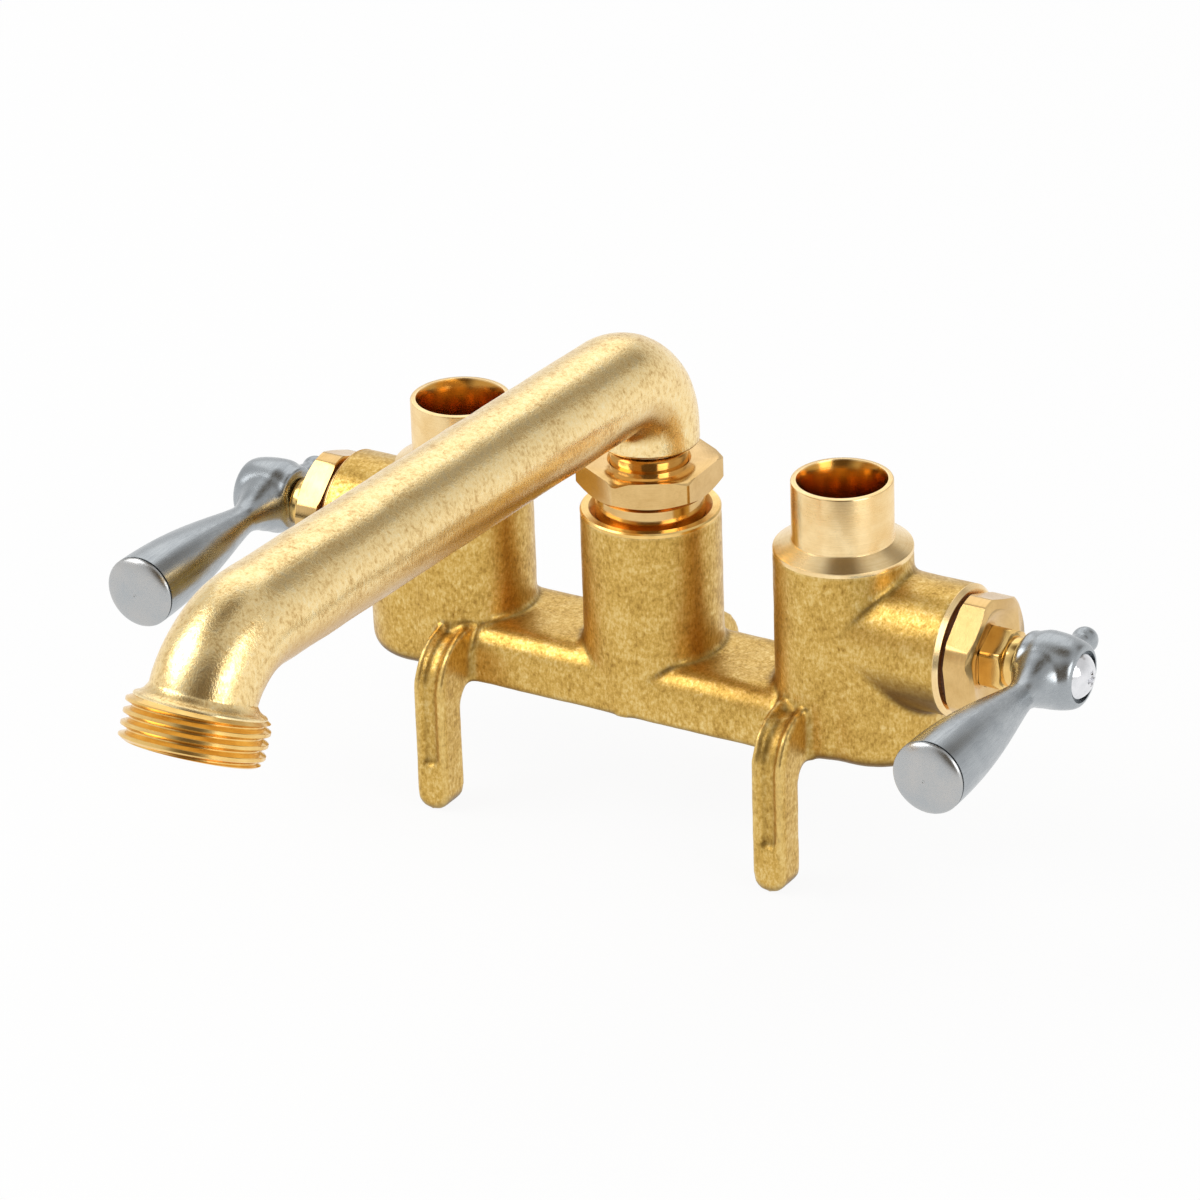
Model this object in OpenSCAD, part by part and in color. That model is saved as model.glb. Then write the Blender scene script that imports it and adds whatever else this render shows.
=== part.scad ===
// Two-handle clamp-on faucet for a utility sink, in millimetres, +Z up, the user stands on the -Y side.
// The origin is the middle of the flat underside that sits on the tub's rim, below the spout's axis.

/* [Casting] */
// Distance between the two inlet axes
inlet_spacing = 85.7; // [80:0.1:110]
// Diameter of the upright valve bodies
valve_d = 27.4; // [26:0.1:32]
// Height of the valve bodies' outer edge
shoulder_z = 41.2; // [39:0.1:50]
// Rise of the sloping shoulder from that edge to the cup
shoulder_rise = 1.7; // [0.4:0.1:2.5]
// Height of the stem axis and its bosses
stem_z = 24.2; // [23:0.1:26]
// Diameter of the side bosses
boss_d = 26.2; // [25:0.1:27]
// Chamfer on the bosses' ends
boss_chamfer = 0.8; // [0.2:0.1:1.2]
// Distance from an inlet axis to the end of its boss
boss_reach = 26.85; // [25:0.05:34]
// Distance from an inlet axis to the end of the lower chamber
chamber_reach = 20.6; // [19.8:0.1:24]
// Rounding under the valve bodies
foot_round = 3; // [1:0.1:4]
// Width of the bar between the valves, front to back
bar_w = 26.8; // [22:0.1:30]
// Height of the bar
bar_h = 11.8; // [11:0.1:16]
// Rounding along the bar's top edges
bar_round = 5.6; // [2:0.1:7]
// Diameter of the spout column
column_d = 27.8; // [26:0.1:34]
// Height of the spout column
column_z = 40.6; // [34:0.1:50]

/* [Inlets and waterways] */
// Bore of the solder cups
cup_bore = 15.93; // [12.75:0.01:16.5]
// Wall of the solder cups
cup_wall = 2.03; // [1.2:0.01:3]
// Depth of the solder cups
cup_depth = 12.7; // [9:0.1:16]
// Height of the cups above the shoulder
cup_rise = 12.2; // [11:0.1:18]
// Chamfer in the cups' mouths
cup_chamfer = 0.66; // [0.2:0.01:1]
// Bore of the inlet pocket below each cup
inlet_bore = 12; // [9:0.1:12.4]
// Bore of the channel in the bar
channel_d = 7.8; // [5:0.1:8.4]
// Bore of the drop from each valve chamber to the channel
drop_d = 8.6; // [6:0.1:9]
// Waterway in the column, under the spout's tail
column_bore = 14; // [10:0.1:15]

/* [Legs] */
// Distance of each front leg from the middle
leg_x = 38.3; // [25:0.1:42]
// Width of the front legs
leg_w = 7; // [6:0.1:10]
// Thickness of the legs, front to back
leg_t = 7.6; // [6:0.1:10]
// Distance from the middle to the front face of the front legs
leg_front = 24.5; // [23:0.1:30]
// How far the front legs hang below the rim seat
leg_drop = 24.6; // [18:0.1:35]
// Outer radius of the legs' bend
leg_bend = 11; // [9:0.1:11.5]
// Fillet behind the legs' bend
leg_fillet = 3.5; // [1:0.1:4]
// Width of the groove down the front legs
groove_w = 3.6; // [2:0.1:4.4]
// Depth of that groove
groove_depth = 0.9; // [0.3:0.1:1.5]
// Height of the groove's lower end above the leg's tip
groove_end = 9.7; // [6:0.1:14]
// Width of the rear leg
rear_w = 11; // [10:0.1:16]
// Distance from the middle to the back face of the rear leg
rear_back = 25; // [23:0.1:30]
// How far the rear leg hangs below the rim seat
rear_drop = 17; // [15.5:0.1:24]

/* [Rim clamp] */
// Depth of the clamp screw below the rim seat
clamp_z = 9.6; // [8:0.1:11]
// Diameter of the clamp screw's thread
clamp_d = 6.35; // [5:0.01:7]
// Length of the clamp screw's thread
clamp_l = 15.5; // [15:0.1:30]
// Width across the clamp screw's square head
clamp_head_w = 9.5; // [8:0.1:12]
// Thickness of that head
clamp_head_t = 6; // [4:0.1:8]
// Diameter of the swivelling tip
clamp_tip_d = 9; // [7.5:0.1:11]
// Thickness of the swivelling tip
clamp_tip_t = 3.6; // [2.6:0.1:5]

/* [Spout] */
// Turn of the spout to the user's left, in degrees
spout_turn = 3.6; // [0:0.1:40]
// Height of the spout's straight run
spout_z = 70.5; // [70:0.1:90]
// Outside diameter of the spout
spout_d = 20.1; // [18:0.1:24]
// Wall of the spout
spout_wall = 2.8; // [2:0.1:3.5]
// Centreline radius of the elbow over the column
elbow_r = 13.1; // [12.2:0.1:15]
// Distance from the column's axis to the start of the outlet bend
spout_reach = 128.5; // [80:0.5:200]
// Centreline radius of the outlet bend
outlet_r = 18.4; // [13:0.1:30]
// Turn of the outlet bend, in degrees
outlet_angle = 64.5; // [30:0.5:90]
// Outside diameter of the hose thread
thread_d = 26.9; // [25.5:0.01:28]
// Pitch of the hose thread
thread_pitch = 2.21; // [1.8:0.01:2.6]
// Number of thread ridges
thread_turns = 4; // [3:1:6]
// Height of the thread ridges
thread_depth = 1.35; // [0.8:0.01:1.6]
// Bore of the hose end
hose_bore = 19; // [16:0.1:20]

/* [Spout swivel] */
// Diameter of the spout's neck and tail
neck_d = 15.4; // [14:0.1:16.5]
// Waterway in the tail
tail_bore = 9.4; // [7:0.1:9.6]
// Length of the neck that shows above the nut
neck_show = 3.9; // [2:0.1:8]
// Width across the spout nut's flats
nut_w = 25.4; // [24:0.1:30]
// Height of the nut's hexagon
nut_h = 5.5; // [4:0.1:8]
// Gap between the column and the nut's hexagon
nut_gap = 4.7; // [2.5:0.1:7]
// Diameter of the nut's thread
nut_thread_d = 21.7; // [20.6:0.1:22.6]
// Depth of the threaded mouth in the column
mouth_depth = 6.6; // [6:0.1:9]
// Length of the tail in the column's bore
tail_l = 8; // [7:0.1:12]
// Thickness of the O-ring
oring_d = 1.78; // [1.4:0.01:2]
// Thickness of the split retaining ring
ring_t = 1.5; // [1:0.1:1.6]
// Depth of the retaining ring's groove
ring_groove = 1.15; // [0.8:0.05:1.3]
// Thickness of the slip washer over the retaining ring
slip_washer_t = 1; // [0.5:0.1:1.2]

/* [Valves] */
// Thickness of the wall that holds the seat
seat_wall = 6; // [5:0.1:7]
// Outside diameter of the seat
seat_d = 12.3; // [11:0.1:13]
// Bore of the seat
seat_bore = 8.4; // [7.4:0.1:9]
// Height of the seat's lip
seat_lip = 1; // [0.5:0.1:1.5]
// Diameter of the seat washer
washer_d = 13.2; // [12.4:0.1:14]
// Thickness of the seat washer
washer_t = 3.2; // [2.4:0.1:4]
// Thickness of the collar behind the washer
collar_t = 2.3; // [1.5:0.1:3]
// Diameter of the stem's thread
stem_thread_d = 9.8; // [9:0.1:10.4]
// Diameter of the plain stem
stem_d = 8; // [7:0.1:8.4]
// Lead of the stem's thread for one turn
stem_lead = 5.08; // [3:0.01:6]
// Turn of a lever from shut to open, in degrees
lever_turn = 135; // [90:1:180]
// Wall of the boss outside the bonnet's thread
boss_wall = 2.7; // [2.2:0.1:3.2]
// Thickness of the bonnet gasket
gasket_t = 0.9; // [0.5:0.1:1.5]
// Width across the bonnet's flats
bonnet_w = 23; // [21.5:0.1:25]
// Thickness of the bonnet's hexagon
bonnet_t = 5.45; // [5.3:0.05:8]
// Depth of the packing's recess in the bonnet
packing_depth = 4; // [3.6:0.1:5]
// Diameter of the packing's recess
packing_d = 12; // [11.4:0.1:12.4]
// Thickness of the packing
packing_t = 3; // [2:0.1:3.4]
// Width across the packing nut's flats
packing_nut_w = 11.8; // [11:0.1:13]
// Thickness of the packing nut's head
packing_nut_t = 5.8; // [3:0.1:8]

/* [Levers] */
// Length of a lever from its hub's axis to its end
lever_l = 52; // [44:0.5:80]
// Largest diameter of a lever's grip
lever_end_d = 14.7; // [11:0.1:18]
// Height of the grip's domed end
lever_dome = 2; // [1:0.1:7]
// Diameter of a lever's neck
lever_neck_d = 6; // [5:0.1:8]
// Distance from the hub's axis to the neck
lever_neck_at = 13; // [11:0.5:18]
// Length of a lever's hub
hub_l = 12.4; // [12:0.1:18]
// Largest diameter of the hub
hub_d = 15.2; // [14:0.1:20]
// Diameter of the hub's inner end
hub_inner_d = 13.6; // [10:0.1:14]
// Diameter of the hub's outer face
hub_face_d = 11.2; // [10.6:0.1:13]
// Distance along the hub from its inner end to the lever's axis
lever_at = 5.4; // [5:0.1:8]
// Distance from the hub's axis to the tail's end
tail_reach = 17; // [12:0.1:24]
// Diameter of the tail's round end
tail_d = 5; // [4.6:0.1:8]
// Width of the stem's square end
square_w = 5.6; // [4.8:0.1:5.6]
// Diameter of the handle screw's head
screw_head_d = 9.2; // [8:0.1:10]
// Height of that head
screw_head_h = 2.4; // [2:0.1:4]
// Diameter of the handle screw's thread
screw_d = 3.9; // [3:0.1:4]

/* [Fits] */
// Radial clearance of parts that turn or slide in each other
run_clear = 0.05; // [0.02:0.01:0.1]
// Radial clearance of screwed parts
thread_clear = 0.05; // [0.02:0.01:0.1]
// Gap between faces that move apart
face_gap = 0.4; // [0.2:0.05:0.6]

/* [Hidden] */

$fn = 96;
hot = -1;
cold = 1;
over = 1;
cast_brass = "#c9a24b";
pale_brass = "#d9b86a";
turned_brass = "#d8ab62";
satin_zinc = "#9ba0a5";
bright_chrome = "#d5d8dc";
black_rubber = "#2b2a29";
red_fibre = "#6e3a24";

// Casting
valve_x = inlet_spacing / 2;
valve_r = valve_d / 2;
boss_r = boss_d / 2;
column_r = column_d / 2;
cup_bore_r = cup_bore / 2;
cup_r = cup_bore_r + cup_wall;
cup_foot = shoulder_z + shoulder_rise;
cup_top = cup_foot + cup_rise;
cup_floor = cup_top - cup_depth;
chamber_inset = 0.15;
chamber_half = boss_r - chamber_inset;
chamber_at = chamber_reach - chamber_half;
pocket_r = inlet_bore / 2;
channel_z = bar_h / 2;

// Spout swivel, heights from the rim seat
neck_r = neck_d / 2;
ledge_z = column_z - mouth_depth;
mouth_chamfer = 1.3;
nut_thread_r = nut_thread_d / 2;
nut_foot_gap = 1;
nut_foot_z = ledge_z + nut_foot_gap;
nut_hex_z = column_z + nut_gap;
nut_top_z = nut_hex_z + nut_h;
nut_under = 1.5;
nut_turn = 31;
elbow_foot_z = nut_top_z + neck_show;
elbow_z = spout_z - elbow_r;
ring_gap = 2.4;
ring_z = ledge_z + ring_gap;
slip_z = ring_z + ring_t + run_clear;
nut_shoulder_z = slip_z + slip_washer_t + run_clear;
ring_hold = 1.5;
ring_r = neck_r + ring_hold;
nut_recess_r = ring_r + face_gap;
ring_slit = 2;
tail_foot_z = ledge_z - tail_l;
oring_groove_r = neck_r - oring_d - run_clear / 2;
oring_at = tail_foot_z + tail_l / 2;
oring_groove_h = oring_d + 2 * face_gap;
spout_r = spout_d / 2;
water_r = spout_r - spout_wall;

// Hose thread, measured along the outlet
crest_land = 0.7;
root_land = 0.3;
thread_flank = (thread_pitch - crest_land - root_land) / 2;
thread_r = thread_d / 2;
root_r = thread_r - thread_depth;
thread_l = thread_turns * thread_pitch;
thread_flare = 1.8;
hose_bore_l = thread_l - thread_pitch;

// Valve train, measured outwards from an inlet axis along the stem
seat_ledge_t = 0.5;
seat_ledge = pocket_r + seat_ledge_t;
seat_foot = pocket_r + seat_wall;
lip_at = seat_foot + seat_lip;
seat_r = seat_d / 2;
seat_bore_r = seat_bore / 2;
lip_r = (seat_r + seat_bore_r) / 2;
washer_r = washer_d / 2;
washer_screw_r = 1.75;
washer_head_r = seat_bore_r - 1.2;
washer_head_t = 1.7;
washer_screw_l = 6;
cup_rim = 0.8;
washer_cup_l = 0.6 * washer_t;
washer_at = lip_at + run_clear;
collar_at = washer_at + washer_t + run_clear;
collar_r = washer_r + run_clear + cup_rim;
collar_end = collar_at + collar_t;
lift = stem_lead * lever_turn / 360;
nose_at = collar_end + lift + face_gap;
boss_thread_l = boss_reach - nose_at + face_gap;
chamber_r = boss_r - boss_wall - 0.8;
boss_thread_r = boss_r - boss_wall;
gasket_at = boss_reach;
bonnet_at = gasket_at + gasket_t;
bonnet_face = bonnet_at + bonnet_t;
bonnet_chamfer = 1;
bonnet_turn = 10;
dish_depth = 0.9;
dish_r = bonnet_w / 2 - 2.2;
packing_floor = bonnet_face - packing_depth;
packing_r = packing_d / 2;
packing_top = packing_floor + packing_t + run_clear;
stem_r = stem_d / 2;
stem_thread_r = stem_thread_d / 2;
stem_thread_end = packing_floor - lift - face_gap;
packing_nut_end = bonnet_face + packing_nut_t;
hub_at = packing_nut_end + face_gap;
hub_end = hub_at + hub_l;
hub_wall = 2.3;
hub_recess = 0.5;
square_at = hub_at - face_gap / 2;
square_end = hub_end - hub_wall - 0.2;
screw_r = screw_d / 2;
screw_l = 8;
drop_at = seat_foot + 2.5;

// Levers
hub_r = hub_d / 2;
lever_end_r = lever_end_d / 2;
lever_neck_r = lever_neck_d / 2;
lever_rim = lever_l - lever_dome;
rim_groove = 0.3;
lever_steps = 12;
seam_turn = 20;
tail_r = tail_d / 2;
tail_neck_r = 0.8 * tail_r;
tail_root_r = 1.6 * tail_r;

// Rim clamp, measured backwards from the middle
rear_front = rear_back - leg_t;
clamp_r = clamp_d / 2;
clamp_nose_r = 0.72 * clamp_r;
clamp_nose_l = 2.6;
tip_back = rear_front - 1;
tip_front = tip_back - clamp_tip_t;
clamp_thread_at = tip_back + run_clear;
clamp_head_at = clamp_thread_at + clamp_l;

// Stands a piece drawn along +Z on the stem's axis, pointing out of the given valve
module on_stem(side) {
    translate([side * valve_x, 0, stem_z]) rotate([0, side * 90, 0]) children();
}

// Lays an outline drawn in Y and Z across X, centred
module across(width) {
    rotate([90, 0, 90]) linear_extrude(height = width, center = true) children();
}

// A hexagon along +Z with its outer corners chamfered at the chosen ends
module hexagon(width, height, foot_cut, top_cut) {
    corner_r = width / sqrt(3);
    intersection() {
        cylinder(r = corner_r, h = height, $fn = 6);
        rotate_extrude() polygon([[0, 0], [corner_r - foot_cut, 0], [corner_r, foot_cut * 0.6],
            [corner_r, height - top_cut * 0.6], [corner_r - top_cut, height], [0, height]]);
    }
}

// Half section of an upright body with a rounded foot
module upright_section(radius, height, foot) {
    translate([0, foot]) square([radius, height - foot]);
    square([radius - foot, foot]);
    translate([radius - foot, foot]) circle(foot);
}

// The bar's cross-section in Y and Z
module bar_section() {
    translate([-bar_w / 2, 0]) square([bar_w, bar_h - bar_round]);
    translate([bar_round - bar_w / 2, 0]) square([bar_w - 2 * bar_round, bar_h]);
    for (s = [-1, 1]) translate([s * (bar_w / 2 - bar_round), bar_h - bar_round]) circle(bar_round);
}

module valve_outside(side) {
    translate([side * valve_x, 0, 0]) {
        rotate_extrude() {
            upright_section(valve_r, shoulder_z, foot_round);
            polygon([[0, stem_z], [valve_r, stem_z], [valve_r, shoulder_z],
                [cup_r, cup_foot], [cup_r, cup_top], [0, cup_top]]);
        }
        translate([side * chamber_at, 0, 0])
            rotate_extrude() upright_section(chamber_half, stem_z, foot_round);
        translate([side * chamber_at / 2, 0, 0]) across(chamber_at) for (s = [0, 1]) mirror([s, 0])
            upright_section(chamber_half, stem_z, foot_round);
    }
    on_stem(side) rotate_extrude() polygon([[0, 0], [boss_r, 0], [boss_r, boss_reach - boss_chamfer],
        [boss_r - boss_chamfer, boss_reach], [0, boss_reach]]);
}

module valve_inside(side) {
    translate([side * valve_x, 0, 0]) {
        translate([0, 0, cup_floor]) cylinder(r = cup_bore_r, h = cup_depth + over);
        translate([0, 0, cup_top - cup_chamfer])
            cylinder(r1 = cup_bore_r, r2 = cup_bore_r + cup_chamfer + over, h = cup_chamfer + over);
        translate([0, 0, stem_z - pocket_r]) cylinder(r = pocket_r, h = cup_floor - stem_z + pocket_r + over);
        translate([side * drop_at, 0, channel_z])
            cylinder(d = drop_d, h = stem_z - chamber_r - channel_z + over);
    }
    on_stem(side) {
        cylinder(r = seat_r - over, h = seat_foot);
        translate([0, 0, seat_ledge])
            cylinder(r = seat_r + thread_clear, h = seat_foot - seat_ledge + over / 2);
        translate([0, 0, seat_foot]) cylinder(r = chamber_r, h = boss_reach - seat_foot + over);
        translate([0, 0, boss_reach - boss_thread_l])
            cylinder(r = boss_thread_r + thread_clear, h = boss_thread_l + over);
    }
}

// A leg's outline: distance from the middle, and height
module leg_outline(face, drop) {
    bend_at = face - leg_bend;
    bend_z = bar_h - 0.3 - leg_bend;
    fillet_at = face - leg_t - leg_fillet;
    translate([face - leg_t, -drop]) square([leg_t, drop + bend_z]);
    square([bend_at, bend_z + leg_bend]);
    intersection() {
        translate([bend_at, bend_z]) circle(leg_bend);
        translate([bend_at, 0]) square([leg_bend + over, bar_h]);
    }
    translate([bend_at, 0]) square([face - bend_at, bend_z]);
    difference() {
        translate([fillet_at, -leg_fillet]) square([leg_fillet + over, leg_fillet + over / 4]);
        translate([fillet_at, -leg_fillet]) circle(leg_fillet);
    }
}

// The strip that the groove takes off a front leg's outline
module groove_outline(face, drop) {
    bend_at = face - leg_bend;
    bend_z = bar_h - 0.3 - leg_bend;
    translate([face - groove_depth, groove_end - drop])
        square([groove_depth + over, drop - groove_end + bend_z]);
    intersection() {
        translate([bend_at, bend_z]) difference() {
            circle(leg_bend + over);
            circle(leg_bend - groove_depth);
        }
        translate([bend_at, bend_z]) square(leg_bend + over);
    }
}

// Keeps a leg's sides, rounding its tip or its edges as seen from the front
module leg_front_view(width, drop, tip_round, top_round) {
    top = bar_h + over;
    rotate([90, 0, 0]) linear_extrude(height = 2 * (leg_front + rear_back), center = true) {
        translate([-width / 2, tip_round - drop]) square([width, drop + top - tip_round - top_round]);
        for (s = [-1, 1]) translate([s * (width / 2 - tip_round), tip_round - drop]) circle(tip_round);
        translate([tip_round - width / 2, -drop]) square([width - 2 * tip_round, drop]);
        for (s = [-1, 1]) translate([s * (width / 2 - top_round), top - top_round]) circle(top_round);
        translate([top_round - width / 2, 0]) square([width - 2 * top_round, top]);
    }
}

module front_leg(side) {
    translate([side * leg_x, 0, 0]) mirror([0, 1, 0]) difference() {
        intersection() {
            across(leg_w) leg_outline(leg_front, leg_drop);
            leg_front_view(leg_w, leg_drop, 0.45 * leg_w, 0.1 * leg_w);
        }
        across(groove_w) groove_outline(leg_front, leg_drop);
    }
}

module rear_leg() {
    difference() {
        intersection() {
            across(rear_w) leg_outline(rear_back, rear_drop);
            leg_front_view(rear_w, rear_drop, 0.3 * rear_w, 0.3 * rear_w);
        }
        translate([0, rear_back + over, -clamp_z]) rotate([90, 0, 0])
            cylinder(r = clamp_r + thread_clear, h = leg_t + 2 * over);
    }
}

module faucet_body() {
    color(cast_brass) difference() {
        union() {
            across(inlet_spacing) bar_section();
            cylinder(r = column_r, h = column_z);
            for (side = [hot, cold]) {
                valve_outside(side);
                front_leg(side);
            }
            rear_leg();
        }
        for (side = [hot, cold]) valve_inside(side);
        translate([0, 0, channel_z]) rotate([0, 90, 0])
            cylinder(d = channel_d, h = inlet_spacing + 2 * drop_at, center = true);
        translate([0, 0, channel_z - channel_d / 2]) cylinder(d = column_bore, h = ledge_z - channel_z);
        translate([0, 0, tail_foot_z - over]) cylinder(r = neck_r + run_clear, h = tail_l + 2 * over);
        translate([0, 0, ledge_z]) cylinder(r = nut_thread_r + thread_clear, h = mouth_depth + over);
        translate([0, 0, column_z - mouth_chamfer])
            cylinder(r1 = nut_thread_r + thread_clear, r2 = nut_thread_r + thread_clear + mouth_chamfer + over,
                h = mouth_chamfer + over);
    }
}

// Spout

// Turns a piece drawn with the run straight ahead to the spout's place
module at_spout() {
    rotate([0, 0, -spout_turn]) children();
}

// Stands a piece drawn along +Z on the end of the outlet bend
module at_outlet() {
    translate([0, -spout_reach - outlet_r * sin(outlet_angle), spout_z - outlet_r * (1 - cos(outlet_angle))])
        rotate([90 + outlet_angle, 0, 0]) children();
}

// The elbow, the run and the outlet bend as one round bar
module spout_bar(radius) {
    translate([0, -elbow_r, elbow_z]) rotate([90, 0, 90])
        rotate_extrude(angle = 90) translate([elbow_r, 0]) circle(radius);
    translate([0, -elbow_r, spout_z]) rotate([90, 0, 0]) cylinder(r = radius, h = spout_reach - elbow_r);
    translate([0, -spout_reach, spout_z - outlet_r]) rotate([90, 0, 90]) rotate([0, 0, 90])
        rotate_extrude(angle = outlet_angle) translate([outlet_r, 0]) circle(radius);
}

module hose_thread() {
    ridges = [for (i = [0:thread_turns - 1]) let (z = i * thread_pitch + root_land / 2)
        each [[root_r, z], [thread_r, z + thread_flank], [thread_r, z + thread_flank + crest_land],
            [root_r, z + 2 * thread_flank + crest_land]]];
    rotate_extrude() polygon(concat([[0, -thread_flare], [spout_r - over / 2, -thread_flare], [root_r, 0]],
        ridges, [[root_r, thread_l], [0, thread_l]]));
}

// The turned neck and tail, with the grooves for the split ring and the O-ring
module spout_tail() {
    ring_groove_r = neck_r - ring_groove;
    oring_z = oring_at - oring_groove_h / 2;
    ring_foot = ring_z - run_clear;
    ring_top = ring_z + ring_t + run_clear;
    rotate_extrude() polygon([[0, tail_foot_z], [neck_r, tail_foot_z],
        [neck_r, oring_z], [oring_groove_r, oring_z],
        [oring_groove_r, oring_z + oring_groove_h], [neck_r, oring_z + oring_groove_h],
        [neck_r, ring_foot], [ring_groove_r, ring_foot], [ring_groove_r, ring_top], [neck_r, ring_top],
        [neck_r, elbow_foot_z + over], [0, elbow_foot_z + over]]);
}

module spout() {
    color(pale_brass) at_spout() difference() {
        union() {
            spout_bar(spout_r);
            translate([0, 0, elbow_foot_z]) cylinder(r = spout_r, h = elbow_z - elbow_foot_z);
            spout_tail();
            at_outlet() hose_thread();
        }
        spout_bar(water_r);
        translate([0, 0, tail_foot_z - over]) cylinder(d = tail_bore, h = elbow_z - tail_foot_z + 2 * over);
        at_outlet() {
            cylinder(r = water_r, h = thread_l + over);
            translate([0, 0, thread_l - hose_bore_l]) cylinder(d = hose_bore, h = hose_bore_l + over);
        }
    }
}

module spout_nut() {
    color(turned_brass) difference() {
        union() {
            translate([0, 0, nut_hex_z]) rotate([0, 0, nut_turn]) hexagon(nut_w, nut_h, 2, 1.2);
            translate([0, 0, nut_foot_z]) cylinder(r = nut_thread_r, h = nut_hex_z - nut_foot_z + over);
            translate([0, 0, nut_hex_z - nut_under])
                cylinder(r1 = nut_thread_r, r2 = nut_w / 2 - 0.4, h = nut_under);
        }
        translate([0, 0, nut_foot_z - over])
            cylinder(r = neck_r + run_clear, h = nut_top_z - nut_foot_z + 2 * over);
        translate([0, 0, nut_foot_z - over])
            cylinder(r = nut_recess_r, h = nut_shoulder_z - nut_foot_z + over);
    }
}

module spout_o_ring() {
    color(black_rubber) translate([0, 0, oring_at]) rotate_extrude()
        translate([oring_groove_r + oring_d / 2 + run_clear / 4, 0]) circle(d = oring_d, $fn = 48);
}

module spout_retaining_ring() {
    color(turned_brass) at_spout() translate([0, 0, ring_z]) difference() {
        cylinder(r = ring_r, h = ring_t);
        translate([0, 0, -over]) cylinder(r = neck_r - ring_groove + run_clear, h = ring_t + 2 * over);
        translate([0, -ring_slit / 2, -over]) cube([ring_r + over, ring_slit, ring_t + 2 * over]);
    }
}

module spout_slip_washer() {
    color(red_fibre) translate([0, 0, slip_z]) difference() {
        cylinder(r = ring_r, h = slip_washer_t);
        translate([0, 0, -over]) cylinder(r = neck_r + run_clear, h = slip_washer_t + 2 * over);
    }
}

// Valves

module seat(side) {
    color(turned_brass) on_stem(side) difference() {
        union() {
            translate([0, 0, seat_ledge + run_clear])
                cylinder(r = seat_r, h = seat_foot - seat_ledge - run_clear);
            translate([0, 0, seat_foot - over]) cylinder(r = lip_r, h = seat_lip + over);
        }
        cylinder(r = seat_bore_r, h = lip_at + over);
    }
}

module seat_washer(side) {
    color(black_rubber) on_stem(side) translate([0, 0, washer_at]) difference() {
        cylinder(r = washer_r, h = washer_t);
        translate([0, 0, -over]) cylinder(r = washer_screw_r + run_clear, h = washer_t + 2 * over);
    }
}

module washer_screw(side) {
    color(turned_brass) on_stem(side) difference() {
        union() {
            translate([0, 0, lip_at - washer_head_t]) cylinder(r = washer_head_r, h = washer_head_t);
            translate([0, 0, lip_at - over]) cylinder(r = washer_screw_r, h = washer_screw_l + over);
        }
        translate([-washer_head_r, -0.4, lip_at - washer_head_t - over])
            cube([2 * washer_head_r, 0.8, over + 0.7]);
    }
}

module stem(side) {
    color(turned_brass) on_stem(side) difference() {
        union() {
            translate([0, 0, collar_at - washer_cup_l]) cylinder(r = collar_r, h = collar_t + washer_cup_l);
            translate([0, 0, collar_at + over]) {
                cylinder(r = stem_thread_r, h = stem_thread_end - collar_at - over);
                cylinder(r = stem_r, h = square_at - collar_at - over);
            }
            translate([0, 0, square_at - over]) intersection() {
                linear_extrude(height = square_end - square_at + over) square(square_w, center = true);
                cylinder(r = stem_r, h = square_end - square_at + over);
            }
        }
        translate([0, 0, lip_at - over]) cylinder(r = washer_r + run_clear, h = collar_at - lip_at + over);
        translate([0, 0, lip_at]) cylinder(r = washer_screw_r + thread_clear, h = washer_screw_l + face_gap);
        translate([0, 0, square_end - screw_l]) cylinder(r = screw_r + thread_clear, h = screw_l + over);
    }
}

module bonnet(side) {
    color(turned_brass) on_stem(side) difference() {
        union() {
            translate([0, 0, nose_at]) cylinder(r = boss_thread_r, h = bonnet_at - nose_at + over);
            translate([0, 0, bonnet_at]) rotate([0, 0, side * bonnet_turn])
                hexagon(bonnet_w, bonnet_t, 0.4, bonnet_chamfer);
        }
        translate([0, 0, nose_at - over])
            cylinder(r = stem_thread_r + run_clear, h = packing_floor - nose_at + 2 * over);
        translate([0, 0, packing_floor]) cylinder(r = packing_r, h = packing_depth + over);
        translate([0, 0, bonnet_face - dish_depth])
            cylinder(r1 = packing_nut_w / sqrt(3) + face_gap, r2 = dish_r, h = dish_depth + 0.01);
    }
}

module bonnet_gasket(side) {
    color(red_fibre) on_stem(side) translate([0, 0, gasket_at]) difference() {
        cylinder(r = bonnet_w / 2 - face_gap, h = gasket_t);
        translate([0, 0, -over]) cylinder(r = boss_thread_r + thread_clear, h = gasket_t + 2 * over);
    }
}

module packing(side) {
    color(black_rubber) on_stem(side) translate([0, 0, packing_floor]) difference() {
        cylinder(r = packing_r - thread_clear, h = packing_t);
        translate([0, 0, -over]) cylinder(r = stem_r + run_clear, h = packing_t + 2 * over);
    }
}

module packing_nut(side) {
    color(turned_brass) on_stem(side) difference() {
        union() {
            translate([0, 0, packing_top])
                cylinder(r = packing_r - thread_clear, h = bonnet_face - packing_top + over);
            translate([0, 0, bonnet_face - dish_depth + run_clear])
                hexagon(packing_nut_w, packing_nut_t + dish_depth - run_clear, 0.3, 0.7);
        }
        translate([0, 0, packing_top - over]) cylinder(r = stem_r + run_clear, h = packing_nut_end);
    }
}

// Levers

// Radius of the grip at a share of its length between neck and rim
function grip_r(share) = lever_neck_r + (lever_end_r - lever_neck_r) * (1 - cos(180 * pow(share, 0.65))) / 2;

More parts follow.
